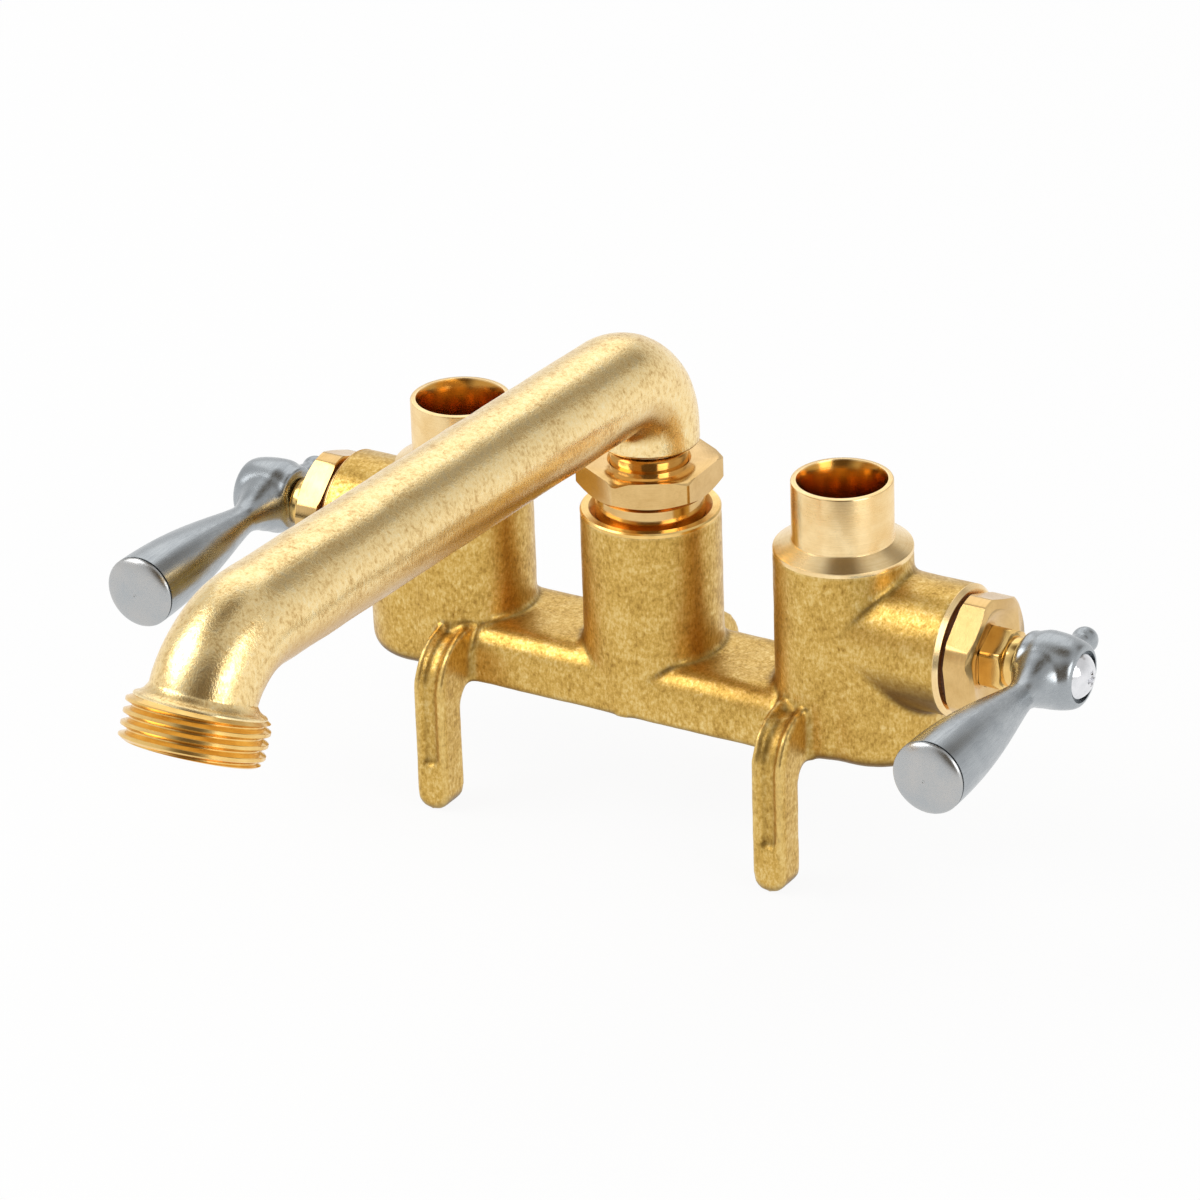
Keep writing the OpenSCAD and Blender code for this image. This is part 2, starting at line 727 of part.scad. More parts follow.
// Half section of the grip: radius, and distance from the hub's axis
function grip_outline() = let (grip_l = lever_rim - 2 * rim_groove - lever_neck_at)
    concat([[0, 0], [lever_neck_r + 1.6, 0], [lever_neck_r + 0.4, hub_r + 1.7]],
        [for (i = [0:lever_steps]) [grip_r(i / lever_steps), lever_neck_at + grip_l * i / lever_steps]],
        [[lever_end_r - rim_groove, lever_rim - rim_groove]],
        [for (a = [0:15:75]) [lever_end_r * cos(a), lever_rim + lever_dome * sin(a)]],
        [[0, lever_l]]);

// Half section of the hub: radius, and distance from its inner end
function hub_outline() = let (inner_r = hub_inner_d / 2, face_r = hub_face_d / 2, flat_l = 0.25 * lever_at,
        peak_at = 0.8 * lever_at)
    concat([[0, 0], [inner_r - 0.5, 0], [inner_r, 0.5]],
        [for (i = [0:5]) [inner_r + (hub_r - inner_r) * (1 - cos(36 * i)) / 2,
            flat_l + (peak_at - flat_l) * i / 5]],
        [for (a = [15:15:90]) [face_r + (hub_r - face_r) * cos(a), peak_at + (hub_l - peak_at) * sin(a)]],
        [[0, hub_l]]);

module lever(side) {
    $fn = 64;
    color(satin_zinc) on_stem(side) difference() {
        union() {
            translate([0, 0, hub_at]) rotate_extrude() polygon(hub_outline());
            translate([0, 0, hub_at + lever_at]) rotate([90, 0, 0]) rotate(seam_turn)
                rotate_extrude() polygon(grip_outline());
            translate([0, 0, hub_at + lever_at]) rotate([-90, 0, 0]) rotate(seam_turn) {
                translate([0, 0, over])
                    cylinder(r1 = tail_root_r, r2 = tail_neck_r, h = tail_reach - tail_r - over);
                translate([0, 0, tail_reach - tail_r]) sphere(r = tail_r);
            }
        }
        translate([0, 0, hub_at - over]) linear_extrude(height = square_end - hub_at + over + 0.2)
            square(square_w + 2 * run_clear, center = true);
        translate([0, 0, hub_at]) cylinder(r = screw_r + 2 * thread_clear, h = hub_l + over);
        translate([0, 0, hub_end - hub_recess])
            cylinder(d = screw_head_d + 2 * thread_clear, h = hub_recess + over);
    }
}

module handle_screw(side) {
    head_r = screw_head_d / 2;
    dome_r = (head_r * head_r + screw_head_h * screw_head_h) / (2 * screw_head_h);
    head_at = hub_end - hub_recess;
    slot_w = 1.2;
    slot_l = 0.5 * screw_head_d;
    color(bright_chrome) on_stem(side) difference() {
        union() {
            intersection() {
                translate([0, 0, head_at + screw_head_h - dome_r]) sphere(r = dome_r);
                translate([0, 0, head_at]) cylinder(r = head_r, h = screw_head_h + over);
            }
            translate([0, 0, square_end - screw_l + over])
                cylinder(r = screw_r, h = head_at - square_end + screw_l);
        }
        for (a = [0, 90]) rotate([0, 0, a]) translate([-slot_l / 2, -slot_w / 2, head_at + screw_head_h / 2])
            cube([slot_l, slot_w, screw_head_h]);
    }
}

// Rim clamp

// Lays a piece drawn along +Z on the clamp screw's axis, pointing backwards from the middle
module on_clamp() {
    translate([0, 0, -clamp_z]) rotate([-90, 0, 0]) children();
}

module clamp_screw() {
    color(turned_brass) on_clamp() {
        translate([0, 0, clamp_thread_at - clamp_nose_l]) cylinder(r = clamp_nose_r, h = clamp_nose_l + over);
        translate([0, 0, clamp_thread_at]) cylinder(r = clamp_r, h = clamp_l + over);
        translate([0, 0, clamp_head_at]) intersection() {
            linear_extrude(height = clamp_head_t) square(clamp_head_w, center = true);
            cylinder(r1 = 0.66 * clamp_head_w, r2 = 0.6 * clamp_head_w, h = clamp_head_t);
        }
    }
}

module clamp_tip() {
    color(turned_brass) on_clamp() difference() {
        translate([0, 0, tip_front]) cylinder(d = clamp_tip_d, h = clamp_tip_t);
        translate([0, 0, tip_back - clamp_nose_l])
            cylinder(r = clamp_nose_r + run_clear, h = clamp_nose_l + over);
    }
}

faucet_body();
spout();
spout_nut();
spout_o_ring();
spout_retaining_ring();
spout_slip_washer();
seat(hot);  // hot_seat
seat_washer(hot);  // hot_seat_washer
washer_screw(hot);  // hot_washer_screw
stem(hot);  // hot_stem
bonnet(hot);  // hot_bonnet
bonnet_gasket(hot);  // hot_bonnet_gasket
packing(hot);  // hot_packing
packing_nut(hot);  // hot_packing_nut
lever(hot);  // hot_lever
handle_screw(hot);  // hot_handle_screw
seat(cold);  // cold_seat
seat_washer(cold);  // cold_seat_washer
washer_screw(cold);  // cold_washer_screw
stem(cold);  // cold_stem
bonnet(cold);  // cold_bonnet
bonnet_gasket(cold);  // cold_bonnet_gasket
packing(cold);  // cold_packing
packing_nut(cold);  // cold_packing_nut
lever(cold);  // cold_lever
handle_screw(cold);  // cold_handle_screw
clamp_screw();
clamp_tip();
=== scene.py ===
"""Builds the looks of a clamp-on brass faucet for a utility sink around its packed CAD frame."""

from math import cos, pi, radians, sin, sqrt, tau

import bmesh
import bpy
from bmesh.types import BMEdge, BMVert
from bpy.props import FloatProperty, FloatVectorProperty, IntProperty, PointerProperty
from bpy.types import Operator, Panel, PropertyGroup
from mathutils import Matrix, Vector


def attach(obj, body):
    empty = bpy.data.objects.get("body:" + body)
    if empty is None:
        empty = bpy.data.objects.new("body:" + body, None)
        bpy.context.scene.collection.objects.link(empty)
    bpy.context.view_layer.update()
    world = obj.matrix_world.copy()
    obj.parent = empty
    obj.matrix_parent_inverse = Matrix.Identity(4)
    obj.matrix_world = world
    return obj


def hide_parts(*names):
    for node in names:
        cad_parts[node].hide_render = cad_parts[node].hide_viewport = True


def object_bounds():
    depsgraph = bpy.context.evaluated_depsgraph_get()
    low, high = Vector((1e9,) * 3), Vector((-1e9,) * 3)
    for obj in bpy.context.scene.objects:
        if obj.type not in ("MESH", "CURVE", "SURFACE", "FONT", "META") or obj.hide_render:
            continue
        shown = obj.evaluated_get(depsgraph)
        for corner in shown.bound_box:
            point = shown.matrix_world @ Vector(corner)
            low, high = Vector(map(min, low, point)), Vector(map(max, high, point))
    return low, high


bl_info = {
    "name": "Utility Sink Faucet",
    "version": (1, 0, 0),
    "blender": (4, 5, 0),
    "location": "View3D > Sidebar > Faucet",
    "description": "Builds the looks of a clamp-on brass faucet around its CAD frame",
    "category": "Object",
}

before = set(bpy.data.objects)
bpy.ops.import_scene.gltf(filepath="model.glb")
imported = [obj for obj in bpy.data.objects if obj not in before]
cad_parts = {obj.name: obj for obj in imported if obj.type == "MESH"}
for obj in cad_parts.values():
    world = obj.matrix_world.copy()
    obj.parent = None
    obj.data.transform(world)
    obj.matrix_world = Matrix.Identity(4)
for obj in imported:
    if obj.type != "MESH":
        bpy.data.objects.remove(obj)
CAD_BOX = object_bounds()
MM = 0.001
# The valves, and which way along X each of them points
SIDES = {"hot": -1, "cold": 1}
# Places closer than this count as one
TINY = 1e-6
# Clearance between turned pieces
FIT = 0.05 * MM
# How far a solid that joins or cuts passes a face
PAST = 1 * MM
# Reach of the cuts that take off the casting's ends for the turned ones
CUT_WIDE, CUT_FAR = 16 * MM, 20 * MM
# Wall of a solder cup's lining below its shoulder
LINING = 0.6 * MM
# The column's turned mouth
MOUTH_DEPTH, MOUTH_WALL, MOUTH_FLARE = 6.4 * MM, 0.7 * MM, 1.3 * MM
# Rounding of the hexagons' corners
HEX_ROUND = 0.75 * MM
# Edges sharper than this turn stay crisp
SHARP = radians(32)


def length(name, description, millimetres):
    """A size in metres for a property group."""
    return FloatProperty(name=name, description=description, default=millimetres * MM,
                         unit="LENGTH", precision=5)


def angle(name, description, degrees):
    """A turn for a property group."""
    return FloatProperty(name=name, description=description, default=radians(degrees),
                         subtype="ANGLE", unit="ROTATION")


def colour(name, description, default):
    """A linear colour for a property group."""
    return FloatVectorProperty(name=name, description=description, default=default, size=3,
                               subtype="COLOR", min=0, max=1)


def level(name, description, default):
    """A plain number for a property group."""
    return FloatProperty(name=name, description=description, default=default, min=0)


class FaucetCasting(PropertyGroup):
    """Sizes of the sand-cast body."""
    valve_x: length("Valve Offset", "From the middle to an inlet's axis", 42.85)
    valve_radius: length("Valve Radius", "Outside of an upright valve body", 13.7)
    shoulder_z: length("Shoulder Height", "Outer edge of the turned shoulder", 41.2)
    shoulder_rise: length("Shoulder Rise", "How far the shoulder slopes up to the cup", 1.7)
    stem_z: length("Stem Height", "Axis of the stems above the rim seat", 24.2)
    boss_radius: length("Boss Radius", "Outside of a side boss", 13.1)
    boss_reach: length("Boss Reach", "From an inlet's axis to the boss's end", 26.85)
    chamber_half: length("Chamber Half Width", "Half the lower chamber's width", 12.95)
    chamber_reach: length("Chamber Reach", "From an inlet's axis to the chamber's end", 20.6)
    foot_round: length("Foot Round", "Rounding along the foot", 3)
    bar_half: length("Bar Half Width", "Half the bar's width", 13.4)
    bar_height: length("Bar Height", "Top of the bar above the rim seat", 11.8)
    bar_round: length("Bar Round", "Rounding along the bar's top edges", 5.6)
    column_radius: length("Column Radius", "Outside of the spout column", 13.9)
    column_height: length("Column Height", "Top of the spout column", 40.6)
    leg_x: length("Leg Offset", "From the middle to a front leg", 38.3)
    leg_width: length("Leg Width", "Width of a front leg", 7)
    leg_depth: length("Leg Depth", "Front to back thickness of a leg", 7.6)
    leg_front: length("Leg Front", "From the middle to the front legs' faces", 24.5)
    leg_drop: length("Leg Drop", "How far the front legs reach down", 24.6)
    leg_bend: length("Leg Bend", "Outer radius of a leg's bend", 11)
    leg_fillet: length("Leg Fillet", "Radius under a leg's arm", 3.5)
    arm_top: length("Arm Top", "Top of a leg's arm above the rim seat", 11.5)
    groove_width: length("Groove Width", "Width of a front leg's groove", 3.7)
    groove_depth: length("Groove Depth", "Depth of a front leg's groove", 1.25)
    groove_end: length("Groove End", "From a front leg's tip up to its groove", 9.7)
    rear_width: length("Rear Leg Width", "Width of the rear leg", 11)
    rear_back: length("Rear Leg Back", "From the middle to the rear leg's back", 25)
    rear_drop: length("Rear Leg Drop", "How far the rear leg reaches down", 17)
    land: length("Turned Land", "Height of the turned rings on the casting's ends", 0.9)
    voxel: length("Mesh Size", "Size of the casting's mesh", 0.6)


class FaucetSpout(PropertyGroup):
    """Sizes of the spout and its nut."""
    turn: angle("Spout Turn", "Turn of the spout at rest, towards the hot side", 3.6)
    run_z: length("Run Height", "Axis of the straight run", 70.5)
    radius: length("Tube Radius", "Outside of the tube", 10.05)
    bore: length("Water Bore", "Inside of the tube", 7.25)
    elbow_radius: length("Elbow Radius", "Bend above the neck, to the tube's axis", 13.1)
    foot_z: length("Elbow Foot", "Flat underside of the elbow", 54.7)
    reach: length("Reach", "From the column to the start of the outlet bend", 128.5)
    outlet_radius: length("Outlet Bend", "Bend at the outlet, to the tube's axis", 18.4)
    outlet_angle: angle("Outlet Angle", "How far the outlet turns down", 64.5)
    thread_radius: length("Thread Radius", "Crest of the hose thread", 13.45)
    thread_depth: length("Thread Depth", "Depth of the hose thread", 1.35)
    thread_pitch: length("Thread Pitch", "Pitch of the hose thread", 2.21)
    thread_turns: IntProperty(name="Thread Turns", description="Turns of the hose thread",
                              default=4, min=1)
    hose_bore: length("Outlet Bore", "Inside of the hose thread", 9.5)
    neck_radius: length("Neck Radius", "Outside of the turned neck", 7.7)
    tail_foot: length("Tail Foot", "Lower end of the turned tail", 26)
    tail_bore: length("Tail Bore", "Inside of the turned tail", 4.7)
    nut_width: length("Nut Width", "Across the spout nut's flats", 25.4)
    nut_foot: length("Nut Foot", "Lower end of the nut's thread", 35)
    nut_hex_z: length("Hexagon Foot", "Underside of the nut's hexagon", 45.3)
    nut_height: length("Hexagon Height", "Height of the nut's hexagon", 5.5)
    nut_thread: length("Nut Thread", "Outside of the nut's thread", 10.85)
    nut_turn: angle("Nut Turn", "Turn of the nut's hexagon", 31)


class FaucetValve(PropertyGroup):
    """Sizes of the inlets, bonnets and packing nuts."""
    cup_bore: length("Cup Bore", "Inside of a solder cup", 7.965)
    cup_radius: length("Cup Radius", "Outside of a solder cup", 9.995)
    cup_top: length("Cup Top", "Rim of a solder cup", 55.1)
    mouth_cut: length("Mouth Flare", "How far a solder cup's mouth widens", 0.95)
    mouth_depth: length("Mouth Depth", "Depth of a solder cup's widened mouth", 2.2)
    cup_floor: length("Cup Floor", "Ledge that stops the tube", 42.4)
    pocket: length("Pocket Radius", "Bore below the cup", 6)
    pocket_foot: length("Pocket Foot", "Bottom of the bore below the cup", 18.2)
    chamber_bore: length("Chamber Bore", "Inside of the valve chamber", 9.6)
    boss_bore: length("Boss Bore", "Inside of the boss's thread", 10.45)
    bonnet_nose: length("Bonnet Nose", "Inner end of the bonnet, from the inlet's axis", 20.9)
    bonnet_at: length("Bonnet Hexagon", "Inner face of the bonnet's hexagon", 27.75)
    bonnet_width: length("Bonnet Width", "Across the bonnet's flats", 23)
    bonnet_depth: length("Bonnet Depth", "Thickness of the bonnet's hexagon", 5.45)
    bonnet_turn: angle("Bonnet Turn", "Turn of the bonnet's hexagon", 10)
    gland_width: length("Packing Nut Width", "Across the packing nut's flats", 11.8)
    gland_depth: length("Packing Nut Depth", "How far the packing nut stands out", 5.8)
    gland_hex: length("Packing Nut Hexagon", "How far the packing nut's flats reach", 3.6)
    stem_radius: length("Stem Radius", "Outside of the stem", 4)


class FaucetLever(PropertyGroup):
    """Sizes of the levers and their screws."""
    hub_at: length("Hub Start", "Inner end of the hub, from the inlet's axis", 39.4)
    hub_length: length("Hub Length", "Length of the hub", 12.4)
    hub_radius: length("Hub Radius", "Widest part of the hub", 7.6)
    hub_inner: length("Hub Inner Radius", "Hub beside the packing nut", 6.8)
    hub_face: length("Hub Face Radius", "Flat end of the hub", 5.6)
    lever_at: length("Lever Axis", "From the hub's inner end to the grip's axis", 5.4)
    grip_length: length("Grip Length", "From the hub's axis to the grip's end", 52)
    end_radius: length("Grip End Radius", "Thick end of the grip", 7.35)
    dome: length("Grip Dome", "Height of the domed end", 2)
    neck_radius: length("Grip Neck Radius", "Thin part of the grip", 3)
    neck_at: length("Grip Neck Place", "From the hub's axis to the thin part", 13)
    tail_reach: length("Tail Reach", "From the hub's axis to the tail's end", 17)
    tail_radius: length("Tail Radius", "Round end of the tail", 2.75)
    screw_radius: length("Screw Head Radius", "Outside of the handle screw's head", 4.6)
    screw_height: length("Screw Head Height", "Height of the handle screw's dome", 2.4)


class FaucetClamp(PropertyGroup):
    """Sizes of the rim clamp."""
    axis_z: length("Clamp Height", "Axis of the clamp screw", -9.6)
    tip_front: length("Tip Front", "Face that presses on the rim", 12.8)
    tip_back: length("Tip Back", "Back of the swivelling tip", 16.4)
    tip_radius: length("Tip Radius", "Outside of the swivelling tip", 4.5)
    thread_radius: length("Clamp Thread", "Crest of the clamp screw's thread", 3.175)
    thread_pitch: length("Clamp Pitch", "Pitch of the clamp screw's thread", 1.27)
    head_at: length("Head Start", "Inner face of the square head", 31.95)
    head_width: length("Head Width", "Across the square head's flats", 9.5)
    head_depth: length("Head Depth", "Thickness of the square head", 6)


class FaucetFinish(PropertyGroup):
    """Colours of the finishes."""
    cast_shade: colour("Cast Shade", "Darker patches of the cast brass", (0.3, 0.155, 0.025))
    cast_gold: colour("Cast Gold", "Main colour of the cast brass", (0.65, 0.41, 0.1))
    # Also the painted highlight along sharp edges
    cast_pale: colour("Cast Pale", "Lighter grain of the cast brass", (0.9, 0.69, 0.3))
    # Painted shade for the casting's creases and undersides
    cast_painted_shade: colour("Cast Painted Shade", "Brown in the casting's creases and undersides",
                         (0.14, 0.075, 0.018))
    # Also the painted shade in the spout's creases and on its underside
    spout_shade: colour("Spout Shade", "Brown mottles of the spout", (0.56, 0.34, 0.11))
    spout_gold: colour("Spout Gold", "Main colour of the spout", (0.96, 0.72, 0.34))
    # Also the painted highlight along the spout's sharp edges
    spout_pale: colour("Spout Pale", "Lighter grain of the spout", (0.98, 0.82, 0.48))
    turned: colour("Turned Brass", "Machined brass", (1.0, 0.77, 0.42))
    turned_shade: colour("Turned Shade", "Dulled machined brass", (0.86, 0.58, 0.25))
    nut: colour("Nut Brass", "Spout nut and bonnets", (0.77, 0.52, 0.22))
    nut_shade: colour("Nut Shade", "Dulled spout nut and bonnets", (0.62, 0.39, 0.14))
    golden: colour("Golden Brass", "Threads, packing nuts and column mouth", (0.95, 0.66, 0.25))
    golden_shade: colour("Golden Shade", "Dulled golden brass", (0.76, 0.46, 0.13))
    # Painted shade: the darker orange inside the bores, where shade falls
    bore: colour("Bore Brass", "Orange brass inside the bores", (0.6, 0.3, 0.06))
    zinc: colour("Satin Zinc", "Plated levers", (0.43, 0.455, 0.47))
    zinc_shade: colour("Zinc Shade", "Darker patches of the plating", (0.34, 0.365, 0.385))
    zinc_end: colour("Pale Zinc", "Domed ends of the levers", (0.52, 0.51, 0.495))
    chrome: colour("Chrome", "Bright plated screws", (0.82, 0.82, 0.84))
    rubber: colour("Rubber", "Washers and packing", (0.03, 0.03, 0.03))
    fibre: colour("Fibre", "Gaskets", (0.12, 0.045, 0.02))
    floor: colour("Floor", "Plain pale floor", (0.94, 0.94, 0.94))


class FaucetStudio(PropertyGroup):
    """Light and camera."""
    azimuth: angle("Azimuth", "Turn of the camera round the faucet", 31.138)
    elevation: angle("Elevation", "Height of the camera's view", 25.953)
    roll: angle("Roll", "Tilt of the camera", -1.961)
    distance: length("Distance", "From the faucet to the camera", 1405)
    aim_right: length("Aim Right", "Sideways shift of the camera", -11.12)
    aim_up: length("Aim Up", "Upward shift of the camera", 17.79)
    lens: level("Lens", "Focal length in millimetres", 212.9)
    key: level("Key Light", "Power of the large soft light on the left in watts", 8)
    back: level("Back Light", "Power of the soft light behind in watts", 2)
    side: level("Side Light", "Power of the tall soft light on the right in watts", 3)
    sky: level("Room Light", "Brightness of the room above the horizon", 0.7)
    horizon: level("Horizon", "Brightness of the room near the floor", 0.95)
    shade: colour("Shade", "Dim brown of the room overhead and behind the camera",
                  (0.15, 0.115, 0.075))
    white: level("Floor White", "How far the floor shows as plain white", 0.92)


# Modelling helpers


def settings(context, *names):
    """The scene's property groups by their short names."""
    return [getattr(context.scene, f"faucet_{name}") for name in names]


def new_object(name, bm):
    """Links a bmesh as an object at the origin and frees it."""
    mesh = bpy.data.meshes.new(name)
    bm.to_mesh(mesh)
    bm.free()
    made = bpy.data.objects.new(name, mesh)
    bpy.context.scene.collection.objects.link(made)
    return made


def discard(obj):
    """Removes an object with its mesh."""
    mesh = obj.data
    bpy.data.objects.remove(obj)
    bpy.data.meshes.remove(mesh)


def take(obj):
    """Turns an object back into a bmesh."""
    bm = bmesh.new()
    bm.from_mesh(obj.data)
    discard(obj)
    return bm


def apply_modifiers(obj):
    """Makes an object's mesh what its modifiers show."""
    graph = bpy.context.evaluated_depsgraph_get()
    mesh = bpy.data.meshes.new_from_object(obj.evaluated_get(graph), depsgraph=graph)
    old = obj.data
    obj.modifiers.clear()
    obj.data = mesh
    mesh.name = obj.name
    bpy.data.meshes.remove(old)


def combine(obj, operation, bm):
    """Cuts, joins or crosses an object with a solid."""
    tool = new_object("tool", bm)
    modifier = obj.modifiers.new("combine", "BOOLEAN")
    modifier.operation = operation
    modifier.solver = "MANIFOLD"
    modifier.object = tool
    apply_modifiers(obj)
    discard(tool)


def soften(obj, width, segments, limit):
    """Rounds an object's edges that are sharper than a limit in degrees."""
    modifier = obj.modifiers.new("soften", "BEVEL")
    modifier.width = width
    modifier.segments = segments
    modifier.limit_method = "ANGLE"
    modifier.angle_limit = radians(limit)
    modifier.use_clamp_overlap = False
    apply_modifiers(obj)


def remesh(obj, voxel, rounds):
    """Blends an object's overlapping solids into one skin with soft fillets."""
    skin = obj.modifiers.new("skin", "REMESH")
    skin.mode = "VOXEL"
    skin.voxel_size = voxel
    smooth = obj.modifiers.new("smooth", "SMOOTH")
    smooth.factor = 0.5
    smooth.iterations = rounds
    apply_modifiers(obj)


def uneven(obj, size, depth):
    """Adds the slight waviness of a casting."""
    clouds = bpy.data.textures.new("waviness", "CLOUDS")
    clouds.noise_scale = size
    clouds.noise_depth = 2
    wave = obj.modifiers.new("waviness", "DISPLACE")
    wave.texture = clouds
    wave.texture_coords = "LOCAL"
    wave.strength = depth
    wave.mid_level = 0.5
    apply_modifiers(obj)


def join(bm, part):
    """Adds a bmesh to another and frees it."""
    mesh = bpy.data.meshes.new("part")
    part.to_mesh(mesh)
    part.free()
    bm.from_mesh(mesh)
    bpy.data.meshes.remove(mesh)
    return bm


def place(bm, matrix):
    """Moves a whole bmesh."""
    bmesh.ops.transform(bm, matrix=matrix, verts=bm.verts)
    bmesh.ops.recalc_face_normals(bm, faces=bm.faces)
    return bm


def raised(z):
    """A move along Z."""
    return Matrix.Translation((0, 0, z))


def turned_by(turn, axis="Z"):
    """A turn round an axis."""
    return Matrix.Rotation(turn, 4, axis)


def close(bm):
    """Merges doubles, fills open ends and points all faces outwards."""
    bmesh.ops.remove_doubles(bm, verts=bm.verts, dist=1e-7)
    bmesh.ops.holes_fill(bm, edges=[e for e in bm.edges if e.is_boundary], sides=0)
    bmesh.ops.recalc_face_normals(bm, faces=bm.faces)
    return bm


def around(r, z, *offsets):
    """Points of a half section, in millimetres out and up from one of its corners."""
    return [(r + out * MM, z + up * MM) for out, up in offsets]


def section(bm, points):
    """A line of edges through (radius, height) points in the XZ plane."""
    verts = [bm.verts.new((r, 0, z)) for r, z in points]
    return verts, [bm.edges.new(pair) for pair in zip(verts, verts[1:])]


def lathe(points, steps=96):
    """A solid turned round Z from its half section, closed on the axis or into a loop."""
    bm = bmesh.new()
    verts, edges = section(bm, points)
    if points[0][0] > 0:
        edges.append(bm.edges.new((verts[-1], verts[0])))
    bmesh.ops.spin(bm, geom=verts + edges, cent=(0, 0, 0), axis=(0, 0, 1), dvec=(0, 0, 0),
                   angle=tau, steps=steps, use_merge=True)
    return close(bm)


def rod(radius, low, high):
    """A round bar along Z, to join or cut with."""
    return lathe([(0, low), (radius, low), (radius, high), (0, high)])


def helix(points, pitch, turns, foot, top, steps=64):
    """A threaded solid along Z: one pitch of its half section, wound and cut off at both ends."""
    bm = bmesh.new()
    spare = 3
    start = [(r, z + foot - spare / 2 * pitch) for r, z in points]
    verts, edges = section(bm, start)
    bmesh.ops.spin(bm, geom=verts + edges, cent=(0, 0, 0), axis=(0, 0, 1),
                   dvec=(0, 0, pitch / steps), angle=tau * (turns + spare),
                   steps=steps * (turns + spare))
    bmesh.ops.remove_doubles(bm, verts=bm.verts, dist=2e-6)
    for height, side in ((foot, -1), (top, 1)):
        bmesh.ops.bisect_plane(bm, geom=bm.verts[:] + bm.edges[:] + bm.faces[:], dist=1e-8,
                               plane_co=(0, 0, height), plane_no=(0, 0, side), clear_outer=True)
    return close(bm)


def only(kind, geom):
    """The vertices or the edges among what an operator made."""
    return [item for item in geom if isinstance(item, kind)]


def outline_solid(points, rounds, width):
    """A plate across X from an outline in Y and Z, with the numbered corners rounded."""
    bm = bmesh.new()
    verts = [bm.verts.new((-width / 2, y, z)) for y, z in points]
    bm.faces.new(verts)
    for corner, radius in rounds.items():
        bmesh.ops.bevel(bm, geom=[verts[corner]], offset=radius, offset_type="OFFSET",
                        segments=12, profile=0.5, affect="VERTICES", material=-1)
    made = bmesh.ops.extrude_face_region(bm, geom=bm.faces[:])["geom"]
    bmesh.ops.translate(bm, verts=only(BMVert, made), vec=(width, 0, 0))
    return close(bm)


def lying(bm, height, same=None):
    """Edges at one height, or only those whose ends share their X (0) or Y (1)."""
    flat = [e for e in bm.edges if all(abs(v.co.z - height) < TINY for v in e.verts)]
    if same is None:
        return flat
    return [e for e in flat if abs(e.verts[0].co[same] - e.verts[1].co[same]) < TINY]


def standing(bm, least):
    """Edges that rise by more than a least height."""
    return [e for e in bm.edges if abs(e.verts[0].co.z - e.verts[1].co.z) > least]


def round_edges(bm, edges, radius, segments):
    """Rounds some edges of a bmesh."""
    bmesh.ops.bevel(bm, geom=edges, offset=radius, offset_type="OFFSET", segments=segments,
                    profile=0.5, affect="EDGES", material=-1, clamp_overlap=True)
    return bm


def box(low, high):
    """A plain block between two corners, to be shaped further."""
    low, high = Vector(low), Vector(high)
    bm = bmesh.new()
    bmesh.ops.create_cube(bm, size=1, matrix=Matrix.Translation((low + high) / 2)
                          @ Matrix.Diagonal((*(high - low), 1)))
    return bm


def hexagon(width, height, foot_cut, top_cut, worn=0.0):
    """A hexagon along Z with rounded corners, chamfered at both ends and worn, as an object."""
    corner = width / sqrt(3)
    bm = bmesh.new()
    bmesh.ops.create_cone(bm, cap_ends=True, segments=6, radius1=corner, radius2=corner,
                          depth=height, matrix=raised(height / 2) @ turned_by(pi / 2))
    made = new_object("hexagon", round_edges(bm, standing(bm, height / 2), HEX_ROUND, 5))
    corner -= worn
    slope = 0.6
    combine(made, "INTERSECT",
            lathe([(0, 0), (corner - foot_cut, 0), (corner, slope * foot_cut),
                   (corner, height - slope * top_cut), (corner - top_cut, height), (0, height)]))
    return made


def on_inlet(side, casting):
    """Where a piece made along Z goes so that it stands on an inlet's axis."""
    return Matrix.Translation((side * casting.valve_x, 0, 0))


def on_stem(side, casting):
    """Where a piece made along Z goes so that it points out of a valve on its stem's axis."""
    return (Matrix.Translation((side * casting.valve_x, 0, casting.stem_z))
            @ turned_by(side * pi / 2, "Y"))


def on_clamp(clamp):
    """Where a piece made along Z goes so that it lies on the clamp screw's axis."""
    return raised(clamp.axis_z) @ turned_by(-pi / 2, "X")


def at_outlet(spout):
    """Where a piece made along Z goes so that it continues the spout's outlet bend."""
    down = spout.outlet_angle
    return (turned_by(-spout.turn)
            @ Matrix.Translation((0, -spout.reach - spout.outlet_radius * sin(down),
                                  spout.run_z - spout.outlet_radius * (1 - cos(down))))
            @ turned_by(pi / 2 + down, "X"))


def weld(mesh):
    """Merges the slivers that cuts leave in a mesh."""
    bm = bmesh.new()
    bm.from_mesh(mesh)
    bmesh.ops.remove_doubles(bm, verts=bm.verts, dist=TINY)
    bmesh.ops.dissolve_degenerate(bm, edges=bm.edges, dist=TINY)
    bm.to_mesh(mesh)
    bm.free()


def dress(obj, name, finish, body, node):
    """Names a finished piece, gives it its finish and its body, and hides the CAD node it stands
    for.
    """
    weld(obj.data)
    obj.name = obj.data.name = name
    obj.data.materials.clear()
    obj.data.materials.append(finish)
    obj.data.shade_smooth()
    obj.data.set_sharp_from_angle(angle=SHARP)
    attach(obj, body)
    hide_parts(node)


# Finishes


def add(tree, kind, inputs=None, **options):
    """Adds a node; each input is a plain value or the socket that feeds it."""
    made = tree.nodes.new(kind)
    for key, value in options.items():
        setattr(made, key, value)
    for key, value in (inputs or {}).items():
        if isinstance(value, bpy.types.NodeSocket):
            tree.links.new(value, made.inputs[key])
        else:
            made.inputs[key].default_value = value
    return made


def math(tree, operation, first, second=0.0):
    """The result of a math node."""
    return add(tree, "ShaderNodeMath", {0: first, 1: second}, operation=operation).outputs[0]


def weigh(tree, *parts):
    """The sum of some values, each times its share."""
    total = None
    for value, share in parts:
        part = math(tree, "MULTIPLY", value, share)
        total = part if total is None else math(tree, "ADD", total, part)
    return total


